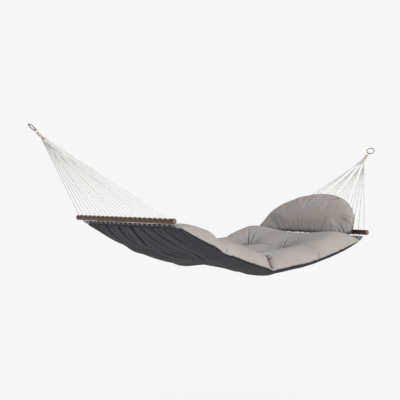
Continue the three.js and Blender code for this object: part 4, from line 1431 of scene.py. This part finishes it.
def add_floor():
    """A plain pale floor well below the object, which keeps its shadow."""
    floor_material = bpy.data.materials.new("pale_floor")
    floor_material.use_nodes = True
    nodes = Nodes(floor_material.node_tree)
    nodes.tree.nodes.clear()
    seen = nodes.add("ShaderNodeLightPath").outputs["Is Camera Ray"]
    matt = nodes.add("ShaderNodeBsdfDiffuse", {"Color": PALE}).outputs[0]
    glow = nodes.add("ShaderNodeEmission", {"Color": FLOOR_GLOW}).outputs[0]
    share = nodes.math("MULTIPLY", seen, GLOW_SHARE)
    mixed = nodes.add("ShaderNodeMixShader", {0: share, 1: matt, 2: glow}).outputs[0]
    nodes.add("ShaderNodeOutputMaterial", {"Surface": mixed})
    bm = bmesh.new()
    bmesh.ops.create_grid(bm, x_segments=1, y_segments=1, size=FLOOR_HALF,
                          matrix=Matrix.Translation((CENTRE.x, 0, FLOOR_HEIGHT)))
    floor = piece_from_bmesh("studio_floor", bm, floor_material, smooth=False)


def add_backdrop():
    """Plain soft light from all round, and a pale backdrop behind it."""
    world = bpy.data.worlds.new("studio")
    bpy.context.scene.world = world
    world.use_nodes = True
    nodes = Nodes(world.node_tree)
    nodes.tree.nodes.clear()
    rays = nodes.add("ShaderNodeLightPath").outputs
    seen = rays["Is Camera Ray"]
    for ray in ("Is Glossy Ray", "Is Transmission Ray"):
        seen = nodes.math("MAXIMUM", seen, rays[ray])
    ambient = nodes.add("ShaderNodeBackground", {"Color": (1, 1, 1, 1), "Strength": AMBIENT}).outputs[0]
    backdrop = nodes.add("ShaderNodeBackground", {"Color": PALE}).outputs[0]
    mixed = nodes.add("ShaderNodeMixShader", {0: seen, 1: ambient, 2: backdrop}).outputs[0]
    nodes.add("ShaderNodeOutputWorld", {"Surface": mixed})


def add_lamps():
    for name, toward, strength, softness in LAMPS:
        lamp = bpy.data.lights.new(name, "SUN")
        lamp.energy = strength
        lamp.angle = math.radians(softness)
        holder = bpy.data.objects.new(name, lamp)
        holder.rotation_mode = "QUATERNION"
        holder.rotation_quaternion = Vector(toward).to_track_quat("Z", "Y")
        bpy.context.scene.collection.objects.link(holder)


def add_camera():
    yaw, pitch, roll = CAMERA_TURN
    ahead = Vector((math.cos(yaw) * math.cos(pitch), math.sin(yaw) * math.cos(pitch), math.sin(pitch)))
    level = ahead.cross(Vector((0, 0, 1))).normalized()
    upright = level.cross(ahead)
    right = level * math.cos(roll) + upright * math.sin(roll)
    up = upright * math.cos(roll) - level * math.sin(roll)
    data = bpy.data.cameras.new("photo_view")
    data.sensor_width = 36
    data.lens = FOCAL_PIXELS / FRAME_PIXELS * data.sensor_width
    data.clip_end = 200
    camera = bpy.data.objects.new("photo_view", data)
    basis = Matrix((right, up, -ahead)).transposed().to_4x4()
    camera.matrix_world = Matrix.Translation(CAMERA_PLACE) @ basis
    bpy.context.scene.collection.objects.link(camera)
    bpy.context.scene.camera = camera


# The whole object, then the stage
for end in (FOOT, HEAD):
    add_ring(end)
    rope = strand_section(EYE_ROPE)
    add_eye(end, rope)
    section = rope.data
    bpy.data.objects.remove(rope)
    bpy.data.curves.remove(section)
    add_neck(end)
    add_whipping(end)
    add_bar(end)
    add_cords(end)
    add_hem(end)
    add_eyelets(end)
    add_hem_stitching(end)
add_bed()
add_pillow()
for number, eyelet in enumerate(STRAP_EYELETS, 1):
    add_strap(number, eyelet)
add_floor()
add_backdrop()
add_lamps()
add_camera()

bpy.context.scene.view_settings.view_transform = "Standard"
